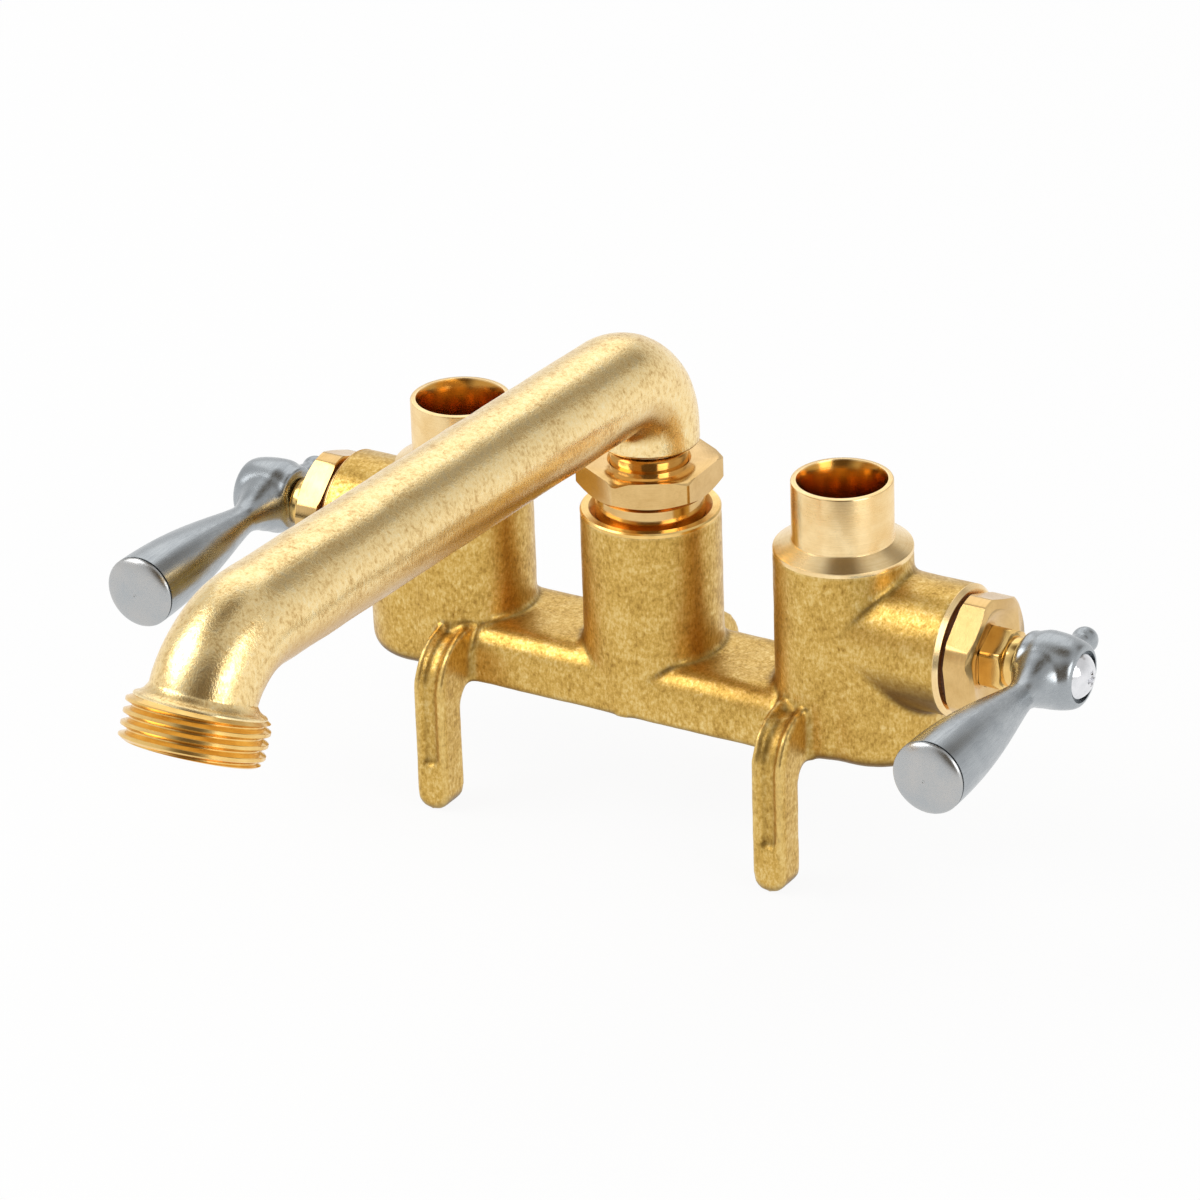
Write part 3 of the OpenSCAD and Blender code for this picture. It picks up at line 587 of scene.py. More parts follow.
def spread(tree, value, low, high, to_low=0.0, to_high=1.0):
    """Maps a value from one range to another, clamped."""
    return add(tree, "ShaderNodeMapRange",
               {"Value": value, "From Min": low, "From Max": high,
                "To Min": to_low, "To Max": to_high}).outputs["Result"]


def noise(tree, vector, scale, detail, roughness):
    """The value of a noise texture."""
    return add(tree, "ShaderNodeTexNoise", {"Vector": vector, "Scale": scale, "Detail": detail,
                                            "Roughness": roughness}).outputs["Fac"]


def blend(tree, share, first, second):
    """A mix of two colours."""
    return add(tree, "ShaderNodeMix", {0: share, 6: first, 7: second},
               data_type="RGBA").outputs[2]


def from_axis(tree, vector):
    """How far a place is from the Z axis, and its height."""
    parts = add(tree, "ShaderNodeSeparateXYZ", {0: vector}).outputs
    squares = [math(tree, "MULTIPLY", part, part) for part in parts[:2]]
    return math(tree, "SQRT", math(tree, "ADD", *squares)), parts[2]


def along(tree, way, direction):
    """How nearly a way points in a direction."""
    return add(tree, "ShaderNodeVectorMath", {0: way, 1: direction},
               operation="DOT_PRODUCT").outputs["Value"]


def group(name, inputs, outputs):
    """An empty shader node group with its sockets and end nodes."""
    tree = bpy.data.node_groups.new(name, "ShaderNodeTree")
    tree.interface.new_socket("Vector", in_out="INPUT", socket_type="NodeSocketVector")
    for title, value in inputs.items():
        socket = tree.interface.new_socket(title, in_out="INPUT", socket_type="NodeSocketFloat")
        socket.default_value = value
    for title in outputs:
        tree.interface.new_socket(title, in_out="OUTPUT", socket_type="NodeSocketFloat")
    return (tree, tree.nodes.new("NodeGroupInput").outputs,
            tree.nodes.new("NodeGroupOutput").inputs)


def cast_skin():
    """Sand-cast grain: fine streaks, mottles and broad patches, as a tone and a height."""
    if made := bpy.data.node_groups.get("Cast Skin"):
        return made
    tree, given, out = group("Cast Skin", {"Grain": 1.0, "Contrast": 1.0}, ["Tone", "Height"])
    scaled = add(tree, "ShaderNodeVectorMath", {0: given["Vector"], 3: given["Grain"]},
                 operation="SCALE").outputs[0]
    drawn = add(tree, "ShaderNodeMapping", {"Vector": scaled, "Scale": (1, 1, 0.4)}).outputs[0]
    streaks = noise(tree, drawn, 2200, 3, 0.65)
    mottles = noise(tree, scaled, 1000, 4, 0.65)
    patches = noise(tree, scaled, 190, 4, 0.6)
    grit = noise(tree, scaled, 3200, 2, 0.6)
    tone = math(tree, "SUBTRACT",
                weigh(tree, (streaks, 0.36), (mottles, 0.4), (patches, 0.24)), 0.5)
    tone = math(tree, "MULTIPLY", tone, given["Contrast"])
    tree.links.new(spread(tree, tone, -0.14, 0.14), out["Tone"])
    tree.links.new(weigh(tree, (streaks, 0.45), (mottles, 0.3), (grit, 0.25)), out["Height"])
    return tree


def lathe_marks():
    """Fine rings that a turning tool leaves round the Z axis, as a tone and a height."""
    if made := bpy.data.node_groups.get("Lathe Marks"):
        return made
    tree, given, out = group("Lathe Marks", {"Marks": 5000.0}, ["Tone", "Height"])
    radius, height = from_axis(tree, given["Vector"])
    turned = add(tree, "ShaderNodeCombineXYZ", {0: radius, 1: height}).outputs[0]
    rings = noise(tree, turned, given["Marks"], 2, 0.6)
    dulled = noise(tree, given["Vector"], 160, 4, 0.6)
    tree.links.new(rings, out["Height"])
    tone = weigh(tree, (rings, 0.3), (dulled, 0.7))
    tree.links.new(spread(tree, tone, 0.35, 0.65), out["Tone"])
    return tree


def material(name, metallic, roughness):
    """A new material with its node tree, its Principled shader and object coordinates."""
    made = bpy.data.materials.new(name)
    made.use_nodes = True
    tree = made.node_tree
    tree.nodes.clear()
    shader = add(tree, "ShaderNodeBsdfPrincipled", {"Metallic": metallic, "Roughness": roughness})
    add(tree, "ShaderNodeOutputMaterial", {"Surface": shader.outputs["BSDF"]})
    return made, tree, shader, tree.nodes.new("ShaderNodeTexCoord").outputs["Object"]


def paint(tree, shader, tint, rough):
    """Feeds a shader's colour and roughness."""
    tree.links.new(tint, shader.inputs["Base Color"])
    tree.links.new(rough, shader.inputs["Roughness"])


def bump(tree, shader, height, strength, depth):
    """Lets a height disturb a shader's normal."""
    made = add(tree, "ShaderNodeBump",
               {"Height": height, "Strength": strength, "Distance": depth})
    tree.links.new(made.outputs[0], shader.inputs["Normal"])


def opaque(value):
    """A property's colour with full opacity."""
    return (*value, 1)


def grey(value):
    """A grey with full opacity."""
    return (value, value, value, 1)


def cast_brass(name, tints, grain, contrast, rough, bumps):
    """Cast brass: mottled grain, painted shade in creases and on undersides, painted highlights on
    edges.
    """
    made, tree, shader, place_on = material(name, 1.0, 0.45)
    shade, gold, pale, painted_shade = map(opaque, tints)
    skin = add(tree, "ShaderNodeGroup", {"Vector": place_on, "Grain": grain, "Contrast": contrast},
               node_tree=cast_skin())
    tone = skin.outputs["Tone"]
    main = blend(tree, spread(tree, tone, 0.0, 0.5), shade, gold)
    main = blend(tree, spread(tree, tone, 0.5, 1.0), main, pale)
    form = add(tree, "ShaderNodeNewGeometry").outputs
    point = form["Pointiness"]
    down = add(tree, "ShaderNodeSeparateXYZ", {0: form["Normal"]}).outputs[2]
    # Painted shade: faces whose normals point down darken towards the painted shade colour
    main = blend(tree, spread(tree, down, -0.05, -0.45, 0.0, 0.9), main, painted_shade)
    # Painted shade: creases, found by pointiness, darken towards the painted shade colour
    main = blend(tree, spread(tree, point, 0.495, 0.455, 0.0, 0.85), main, painted_shade)
    # Painted highlight: sharp edges, found by pointiness, lighten towards the pale tint
    main = blend(tree, spread(tree, point, 0.515, 0.56, 0.0, 0.55), main, pale)
    smooth, coarse = rough
    paint(tree, shader, main, spread(tree, tone, 0.0, 1.0, coarse, smooth))
    bump(tree, shader, skin.outputs["Height"], bumps, 0.16 * MM)
    return made


def turned_brass(name, finish, axis, smooth, coarse, tint="turned"):
    """Machined brass with fine rings round an axis and a little dulling."""
    if made := bpy.data.materials.get(name):
        return made
    made, tree, shader, place_on = material(name, 1.0, 0.25)
    back = axis.inverted()
    turned = add(tree, "ShaderNodeMapping", {"Vector": place_on, "Location": back.translation,
                                             "Rotation": back.to_euler()}).outputs[0]
    marks = add(tree, "ShaderNodeGroup", {"Vector": turned}, node_tree=lathe_marks())
    tone = marks.outputs["Tone"]
    dull, clean = opaque(getattr(finish, f"{tint}_shade")), opaque(getattr(finish, tint))
    paint(tree, shader, blend(tree, tone, dull, clean),
          spread(tree, tone, 0.0, 1.0, coarse, smooth))
    bump(tree, shader, marks.outputs["Height"], 0.12, 0.06 * MM)
    return made


def stem_brass(finish, casting):
    """Turned brass for the pieces on the stems' axis."""
    return turned_brass("turned brass on stems", finish, on_stem(1, casting), 0.16, 0.3)


def bored_brass(name, finish, axis, edge, tint):
    """Turned brass that goes a darker orange inside a bore's edge, a painted shade."""
    made = turned_brass(name, finish, axis, 0.18, 0.3, tint)
    tree = made.node_tree
    shader = next(n for n in tree.nodes if n.type == "BSDF_PRINCIPLED")
    turned = next(n for n in tree.nodes if n.type == "MAPPING").outputs[0]
    outside, rough = (shader.inputs[socket].links[0].from_socket
                      for socket in ("Base Color", "Roughness"))
    radius, _ = from_axis(tree, turned)
    # Painted shade: inside the bore's edge the colour turns to the darker orange bore colour
    inside = spread(tree, radius, edge - 0.15 * MM, edge, 1.0, 0.0)
    paint(tree, shader, blend(tree, inside, outside, opaque(finish.bore)),
          math(tree, "MULTIPLY", rough, spread(tree, inside, 0.0, 1.0, 1.0, 0.75)))
    return made


def satin_zinc(name, shade, tint):
    """Plated die-cast zinc, brushed along the lever."""
    made, tree, shader, place_on = material(name, 1.0, 0.3)
    drawn = add(tree, "ShaderNodeMapping", {"Vector": place_on, "Scale": (1, 0.06, 1)}).outputs[0]
    brushed = noise(tree, drawn, 2600, 3, 0.6)
    patches = noise(tree, place_on, 180, 3, 0.55)
    tone = spread(tree, weigh(tree, (brushed, 0.45), (patches, 0.55)), 0.35, 0.65)
    paint(tree, shader, blend(tree, tone, opaque(shade), opaque(tint)),
          spread(tree, brushed, 0.3, 0.7, 0.34, 0.22))
    bump(tree, shader, brushed, 0.12, 0.08 * MM)
    return made


def bright_chrome(finish):
    """Bright plating with faint smears."""
    made, tree, shader, place_on = material("bright chrome", 1.0, 0.1)
    smears = noise(tree, place_on, 700, 3, 0.6)
    paint(tree, shader, blend(tree, spread(tree, smears, 0.4, 0.7, 0.0, 0.25),
                              opaque(finish.chrome), opaque(finish.zinc)),
          spread(tree, smears, 0.3, 0.7, 0.06, 0.18))
    return made


def soft_finish(name, tint, rough, grain, depth):
    """Rubber or pressed fibre with a fine grain."""
    made, tree, shader, place_on = material(name, 0.0, rough)
    specks = noise(tree, place_on, grain, 4, 0.65)
    dark, pale = ([min(1, share * c) for c in tint] for share in (0.6, 1.35))
    paint(tree, shader, blend(tree, spread(tree, specks, 0.35, 0.65), opaque(dark), opaque(pale)),
          spread(tree, specks, 0.3, 0.7, rough - 0.12, rough))
    bump(tree, shader, specks, 0.4, depth)
    return made


# Pieces


def upright(radius, height, foot):
    """An upright body with a rounded foot."""
    arc = [(radius - foot + foot * sin(radians(a)), foot - foot * cos(radians(a)))
           for a in range(0, 91, 15)]
    return lathe([(0, 0), *arc, (radius, height), (0, height)])


def leg(s, face, drop, width, tip_round, grooved):
    """A leg with its arm, bent down from the bar, pointing to +Y."""
    root, inner = 2 * MM, face - s.leg_depth
    bm = outline_solid([(root, s.arm_top), (face, s.arm_top), (face, -drop), (inner, -drop),
                        (inner, 0), (root, 0)], {4: s.leg_fillet, 1: s.leg_bend}, width)
    round_edges(bm, lying(bm, -drop, 0), tip_round, 8)
    bmesh.ops.recalc_face_normals(bm, faces=bm.faces)
    if not grooved:
        return bm
    made = new_object("leg", bm)
    past = 2 * MM
    start, floor, out = face - s.leg_bend, face - s.groove_depth, face + past
    foot, ceiling, top = s.groove_end - drop, s.arm_top - s.groove_depth, s.arm_top + past
    combine(made, "DIFFERENCE",
            outline_solid([(start, top), (out, top), (out, foot), (floor, foot),
                           (floor, ceiling), (start, ceiling)],
                          {4: s.leg_bend - s.groove_depth, 1: s.leg_bend + past}, s.groove_width))
    return take(made)


def casting_solids(s):
    """The cast body's overlapping solids, before they are blended."""
    bm = bmesh.new()
    bar = box((-s.valve_x, -s.bar_half, 0), (s.valve_x, s.bar_half, s.bar_height))
    join(bm, round_edges(bar, lying(bar, s.bar_height, 1), s.bar_round, 8))
    join(bm, rod(s.column_radius, 0, s.column_height))
    for side in SIDES.values():
        over = on_inlet(side, s)
        join(bm, place(upright(s.valve_radius, s.shoulder_z, s.foot_round), over))
        middle = s.chamber_reach - s.chamber_half
        join(bm, place(upright(s.chamber_half, s.stem_z, s.foot_round),
                       over @ Matrix.Translation((side * middle, 0, 0))))
        link = box((-middle / 2, -s.chamber_half, 0), (middle / 2, s.chamber_half, s.stem_z))
        join(bm, place(round_edges(link, lying(link, 0, 1), s.foot_round, 6),
                       over @ Matrix.Translation((side * middle / 2, 0, 0))))
        join(bm, place(rod(s.boss_radius, 0, s.boss_reach), on_stem(side, s)))
        join(bm, place(leg(s, s.leg_front, s.leg_drop, s.leg_width, 0.45 * s.leg_width, True),
                       Matrix.Translation((side * s.leg_x, 0, 0)) @ Matrix.Diagonal((1, -1, 1, 1))))
    return join(bm, leg(s, s.rear_back, s.rear_drop, s.rear_width, 0.3 * s.rear_width, False))


class FAUCET_OT_casting(Operator):
    """Build the sand-cast body with its bores"""
    bl_idname = "faucet.casting"
    bl_label = "Cast Body"

    def execute(self, context):
        s, v, p, c, f = settings(context, "casting", "valve", "spout", "clamp", "finish")
        body = new_object("body", casting_solids(s))
        remesh(body, s.voxel, 14)
        uneven(body, 7 * MM, 0.22 * MM)
        cuts = [self.column_bore(s, p)]
        for side in SIDES.values():
            cuts.append(place(self.inlet_bore(s, v), on_inlet(side, s)))
            cuts.append(place(self.boss_bore(s, v), on_stem(side, s)))
        cuts.append(place(rod(c.thread_radius + FIT, 15 * MM, 27 * MM), on_clamp(c)))
        for cut in cuts:
            combine(body, "DIFFERENCE", cut)
        # The last tint is the painted shade for the creases and undersides
        tints = f.cast_shade, f.cast_gold, f.cast_pale, f.cast_painted_shade
        dress(body, "cast_body", cast_brass("cast brass", tints, 1.0, 0.8, (0.27, 0.44), 0.5),
              "casting", "faucet_body")
        return {"FINISHED"}

    def past(self, end):
        """The last points of a cut, which takes the casting's end off to make room for a land."""
        return [(CUT_WIDE, end), (CUT_WIDE, end + CUT_FAR), (0, end + CUT_FAR)]

    def column_bore(self, s, p):
        """Room for the spout's tail and the turned mouth."""
        foot, low, end = p.tail_foot - 8 * MM, s.column_height - MOUTH_DEPTH, s.column_height
        bore, mouth = p.neck_radius + FIT, p.nut_thread + MOUTH_WALL
        return lathe([(0, foot), (bore, foot), (bore, low), (mouth, low), (mouth, end - s.land),
                      (CUT_WIDE, end - s.land), (CUT_WIDE, end + CUT_FAR), (0, end + CUT_FAR)])

    def inlet_bore(self, s, v):
        """Room for a solder cup and its lining."""
        wall, foot, end = v.pocket + LINING, v.pocket_foot - LINING, s.shoulder_z - s.land
        return lathe([(0, foot), (wall, foot), (wall, end), *self.past(end)])

    def boss_bore(self, s, v):
        """The passage from an inlet's pocket through the seat and the chamber to the bonnet."""
        seat, chamber, nose = 6.5 * MM, 12 * MM, v.bonnet_nose - 0.4 * MM
        seat_bore, seat_rim, end = 5.2 * MM, 6.2 * MM, s.boss_reach - s.land
        return lathe([(0, v.pocket), (seat_bore, v.pocket), (seat_bore, seat), (seat_rim, seat),
                      (seat_rim, chamber), (v.chamber_bore, chamber), (v.chamber_bore, nose),
                      (v.boss_bore, nose), (v.boss_bore, end), *self.past(end)])


class FAUCET_OT_turned_ends(Operator):
    """Build the turned solder cups, column mouth and boss ends"""
    bl_idname = "faucet.turned_ends"
    bl_label = "Turned Ends"

    def execute(self, context):
        s, v, p, f = settings(context, "casting", "valve", "spout", "finish")
        edge = v.cup_bore + v.mouth_cut
        for name, side in SIDES.items():
            axis = on_inlet(side, s)
            dress(new_object("cup", place(lathe(self.cup(s, v), 128), axis)), f"{name}_solder_cup",
                  bored_brass(f"{name} cup brass", f, axis, edge, "turned"),
                  "casting", "faucet_body")
            dress(new_object("ring", place(lathe(self.ring(s, v)), on_stem(side, s))),
                  f"{name}_boss_end", stem_brass(f, s), "casting", "faucet_body")
        bore = p.nut_thread + FIT
        dress(new_object("mouth", lathe(self.mouth(s, p, bore), 128)), "column_mouth",
              bored_brass("column mouth brass", f, Matrix(), bore + MOUTH_FLARE, "golden"),
              "casting", "faucet_body")
        return {"FINISHED"}

    def cup(self, s, v):
        """Half section of a solder cup with its shoulder and its lining below."""
        foot, rise = s.shoulder_z - s.land, s.shoulder_z + s.shoulder_rise
        wall, low = v.pocket + LINING, v.pocket_foot - LINING
        return [(0, v.pocket_foot), (v.pocket, v.pocket_foot), (v.pocket, v.cup_floor),
                (v.cup_bore, v.cup_floor), (v.cup_bore, v.cup_top - v.mouth_depth),
                (v.cup_bore + v.mouth_cut, v.cup_top),
                *around(v.cup_radius, v.cup_top, (-0.3, 0), (-0.1, -0.1), (0, -0.3)),
                *around(v.cup_radius, rise, (0, 0.5), (0.12, 0.12), (0.5, -0.15)),
                *around(s.valve_radius, s.shoulder_z, (-0.35, 0.16), (-0.08, -0.02), (0, -0.3)),
                (s.valve_radius, foot), (wall, foot), (wall, low), (0, low)]

    def ring(self, s, v):
        """Half section of a boss's turned end."""
        end, bore = s.boss_reach - s.land, v.boss_bore + 0.1 * MM
        return [*around(s.boss_radius, end, (0, 0), (0, 0.1)),
                (s.boss_radius - 0.8 * MM, s.boss_reach), (bore, s.boss_reach), (bore, end)]

    def mouth(self, s, p, bore):
        """Half section of the column's turned mouth."""
        top, foot, low = s.column_height, s.column_height - s.land, s.column_height - MOUTH_DEPTH
        wall = p.nut_thread + MOUTH_WALL
        return [(s.column_radius, foot), *around(s.column_radius, top, (0, -0.3), (-0.3, 0)),
                (bore + MOUTH_FLARE, top), (bore, top - MOUTH_FLARE), (bore, low), (wall, low),
                (wall, foot)]


def ring_of(bm, z, radius):
    """A ring of edges round Z at a height."""
    verts = bmesh.ops.create_circle(bm, cap_ends=False, segments=96, radius=radius,
                                    matrix=raised(z))["verts"]
    return list({e for v in verts for e in v.link_edges})


def pull(bm, ring, move, steps):
    """Extrudes a ring of edges along a line."""
    for _ in range(steps):
        made = bmesh.ops.extrude_edge_only(bm, edges=ring)["geom"]
        verts = only(BMVert, made)
        bmesh.ops.translate(bm, verts=verts, vec=Vector(move) / steps)
        fresh = set(verts)
        ring = [e for e in only(BMEdge, made) if fresh.issuperset(e.verts)]
    return ring


def bend(bm, ring, centre, turn):
    """Sweeps a ring of edges round a line across X."""
    verts = list({v for e in ring for v in e.verts})
    made = bmesh.ops.spin(bm, geom=verts + ring, cent=centre, axis=(1, 0, 0), dvec=(0, 0, 0),
                          angle=turn, steps=24)["geom_last"]
    return only(BMEdge, made)


def spout_tube(p, radius, foot_z):
    """The elbow, the run and the outlet bend as one round bar."""
    bm = bmesh.new()
    elbow_z = p.run_z - p.elbow_radius
    ring = pull(bm, ring_of(bm, foot_z, radius), (0, 0, elbow_z - foot_z), 3)
    ring = bend(bm, ring, (0, -p.elbow_radius, elbow_z), pi / 2)
    ring = pull(bm, ring, (0, p.elbow_radius - p.reach, 0), 70)
    bend(bm, ring, (0, -p.reach, p.run_z - p.outlet_radius), p.outlet_angle)
    return close(bm)


class FAUCET_OT_spout(Operator):
    """Build the cast spout with its turned neck and hose thread"""
    bl_idname = "faucet.spout"
    bl_label = "Spout"

    def execute(self, context):
        p, f = settings(context, "spout", "finish")
        swung, outlet = turned_by(-p.turn), at_outlet(p)
        bm = spout_tube(p, p.radius, p.foot_z)
        round_edges(bm, lying(bm, p.foot_z), 0.6 * MM, 3)
        tube = new_object("tube", place(bm, swung))
        uneven(tube, 9 * MM, 0.3 * MM)
        lip, elbow_z = p.thread_radius - p.thread_depth + 0.25 * MM, p.run_z - p.elbow_radius
        flare = [*around(0, 0, (0, -3)),
                 *around(p.radius, 0, (-0.5, -3), (0.1, -1.9), (0.6, -1.1), (1.3, -0.55)),
                 *around(lip, 0, (-0.2, -0.25), (0, 0), (0, 0.3), (-0.2, 0.5)),
                 *around(0, 0, (0, 0.5))]
        combine(tube, "UNION", place(lathe(flare), outlet))
        for cut in (place(spout_tube(p, p.bore, elbow_z), swung),
                    place(rod(p.bore, -PAST, 2 * MM), outlet),
                    rod(p.tail_bore, p.foot_z - PAST, elbow_z + PAST)):
            combine(tube, "DIFFERENCE", cut)
        # The last tint, spout_shade, is the painted shade for the spout's creases and underside
        tints = f.spout_shade, f.spout_gold, f.spout_pale, f.spout_shade
        dress(tube, "cast_spout", cast_brass("spout brass", tints, 0.9, 0.95, (0.16, 0.34), 0.6),
              "swing_spout", "spout")
        dress(new_object("neck", lathe(self.neck(p))), "spout_neck",
              turned_brass("polished brass", f, Matrix(), 0.06, 0.14),
              "swing_spout", "spout")
        thread = self.thread(p)
        thread.data.transform(outlet)
        dress(thread, "hose_thread",
              turned_brass("golden brass at the outlet", f, outlet, 0.14, 0.28, "golden"),
              "swing_spout", "spout")
        return {"FINISHED"}

    def neck(self, p):
        """Half section of the turned neck and tail, grooved, with a flare under the elbow."""
        r, z, nut_top = p.neck_radius, p.foot_z, p.nut_hex_z + p.nut_height
        points = [(p.tail_bore, p.tail_foot), *around(r, p.tail_foot, (-0.3, 0), (0, 0.3))]
        for low, high, depth in ((28.71, 31.29, 1.805), (36.35, 37.95, 1.15)):
            points += around(r, 0, (0, low), (-depth, low), (-depth, high), (0, high))
        return [*points, *around(r, nut_top, (0, 1.7), (0.08, 2.1), (0.3, 2.6), (0.75, 3.2)),
                *around(r, z, (1.2, -0.2), (1.9, 0.05), (1.9, 0.8)),
                *around(p.tail_bore, z, (0, 0.8))]

    def thread(self, p):
        """The hose thread, a true helix cut off at the outlet's face."""
        crest, pitch, bore = p.thread_radius, p.thread_pitch, p.hose_bore
        root, top = crest - p.thread_depth, p.thread_turns * p.thread_pitch
        profile = [*around(root, 0, (0, 0), (0, 0.2), (0.12, 0.32)),
                   *around(crest, 0, (-0.12, 0.84), (0, 0.97), (0, 1.54), (-0.12, 1.67)),
                   *around(root, pitch, (0.12, -0.12), (0, 0))]
        made = new_object("thread", helix(profile, pitch, p.thread_turns, 0.3 * MM, top))
        combine(made, "INTERSECT",
                lathe([(0, 0), *around(root, 0, (-0.1, 0)), *around(crest, 0, (0.3, 1.2)),
                       *around(crest, top, (0.3, -1)), *around(root, top, (0.2, 0)), (0, top)]))
        combine(made, "DIFFERENCE",
                lathe([(0, -PAST), (p.bore, -PAST), (p.bore, pitch), (bore, pitch),
                       *around(bore, top, (0, -0.4), (0.8, 0.4), (0.8, 1)), (0, top + PAST)]))
        return made


class FAUCET_OT_spout_nut(Operator):
    """Build the hexagon nut that holds the spout"""
    bl_idname = "faucet.spout_nut"
    bl_label = "Spout Nut"

    def execute(self, context):
        p, f = settings(context, "spout", "finish")
        foot, hex_z = p.nut_foot, p.nut_hex_z
        nut = hexagon(p.nut_width, p.nut_height, 2 * MM, 1.3 * MM)
        nut.data.transform(raised(hex_z) @ turned_by(p.nut_turn))
        under, flat = hex_z - 1.5 * MM, p.nut_width / 2 - 0.4 * MM
        combine(nut, "UNION",
                lathe([(0, foot), (p.nut_thread, foot), (p.nut_thread, under), (flat, hex_z),
                       (flat, hex_z + PAST), (0, hex_z + PAST)]))
        bore, top = p.neck_radius + FIT, hex_z + p.nut_height
        recess, shoulder = p.neck_radius + 1.9 * MM, foot + 4 * MM
        combine(nut, "DIFFERENCE",
                lathe([(0, foot - PAST), (recess, foot - PAST), (recess, shoulder),
                       (bore, shoulder), *around(bore, top, (0, -0.5), (0.7, 0.2), (0.7, 1)),
                       (0, top + PAST)]))
        dress(nut, "spout_nut_hex", turned_brass("nut brass", f, Matrix(), 0.1, 0.2, "nut"),
              "casting", "spout_nut")
        return {"FINISHED"}


class FAUCET_OT_bonnets(Operator):
    """Build the bonnets and packing nuts"""
    bl_idname = "faucet.bonnets"
    bl_label = "Bonnets"

    def execute(self, context):
        s, v, f = settings(context, "casting", "valve", "finish")
        nut_brass = turned_brass("nut brass on stems", f, on_stem(1, s), 0.14, 0.26, "nut")
        golden = turned_brass("golden brass on stems", f, on_stem(1, s), 0.12, 0.24, "golden")
        for name, side in SIDES.items():
            for piece, made, brass in (("bonnet", self.bonnet(v, side), nut_brass),
                                       ("packing_nut", self.packing_nut(v), golden)):
                made.data.transform(on_stem(side, s))
                dress(made, f"{name}_{piece}_hex", brass, "casting",
                      f"{name}_{piece}")
        return {"FINISHED"}

    def bonnet(self, v, side):
        """A hexagon plug with a dished face and a well for the packing nut."""
        face, low = v.bonnet_at + v.bonnet_depth, v.bonnet_nose - PAST
        made = hexagon(v.bonnet_width, v.bonnet_depth, 0.4 * MM, 1 * MM, 0.8 * MM)
        made.data.transform(raised(v.bonnet_at) @ turned_by(side * v.bonnet_turn))
        combine(made, "UNION", rod(v.boss_bore - FIT, v.bonnet_nose, v.bonnet_at + PAST))
        dish, gland = v.bonnet_width / 2 - 2.2 * MM, v.gland_width / sqrt(3)
        hole = v.stem_radius + 0.95 * MM
        combine(made, "DIFFERENCE",
                lathe([(0, low), (hole, low), *around(hole, face, (0, -4)),
                       *around(0, face, (6, -4), (6, -0.9)), *around(gland, face, (0.4, -0.9)),
                       *around(dish, face, (0, 0), (0.1, 1)), (0, face + PAST)]))
        return made

    def packing_nut(self, v):
        """A short hexagon with a round nose."""
        face, sunk = v.bonnet_at + v.bonnet_depth, 0.85 * MM
        made = hexagon(v.gland_width, v.gland_hex + sunk, 0.3 * MM, 0.9 * MM)
        made.data.transform(raised(face - sunk))
        bore, end = v.stem_radius + FIT, face + v.gland_depth
        combine(made, "UNION",
                lathe([*around(0, face, (0, -0.9), (5.95, -0.9), (5.95, -0.5), (5, -0.2)),
                       *around(0, end, (5, -0.6), (4.85, -0.2), (4.6, 0), (0, 0))]))
        combine(made, "DIFFERENCE",
                lathe([(0, face - 2 * MM), (bore, face - 2 * MM),
                       *around(bore, end, (0, -0.4), (0.5, 0.1), (0.5, 1)), (0, end + PAST)]))
        return made


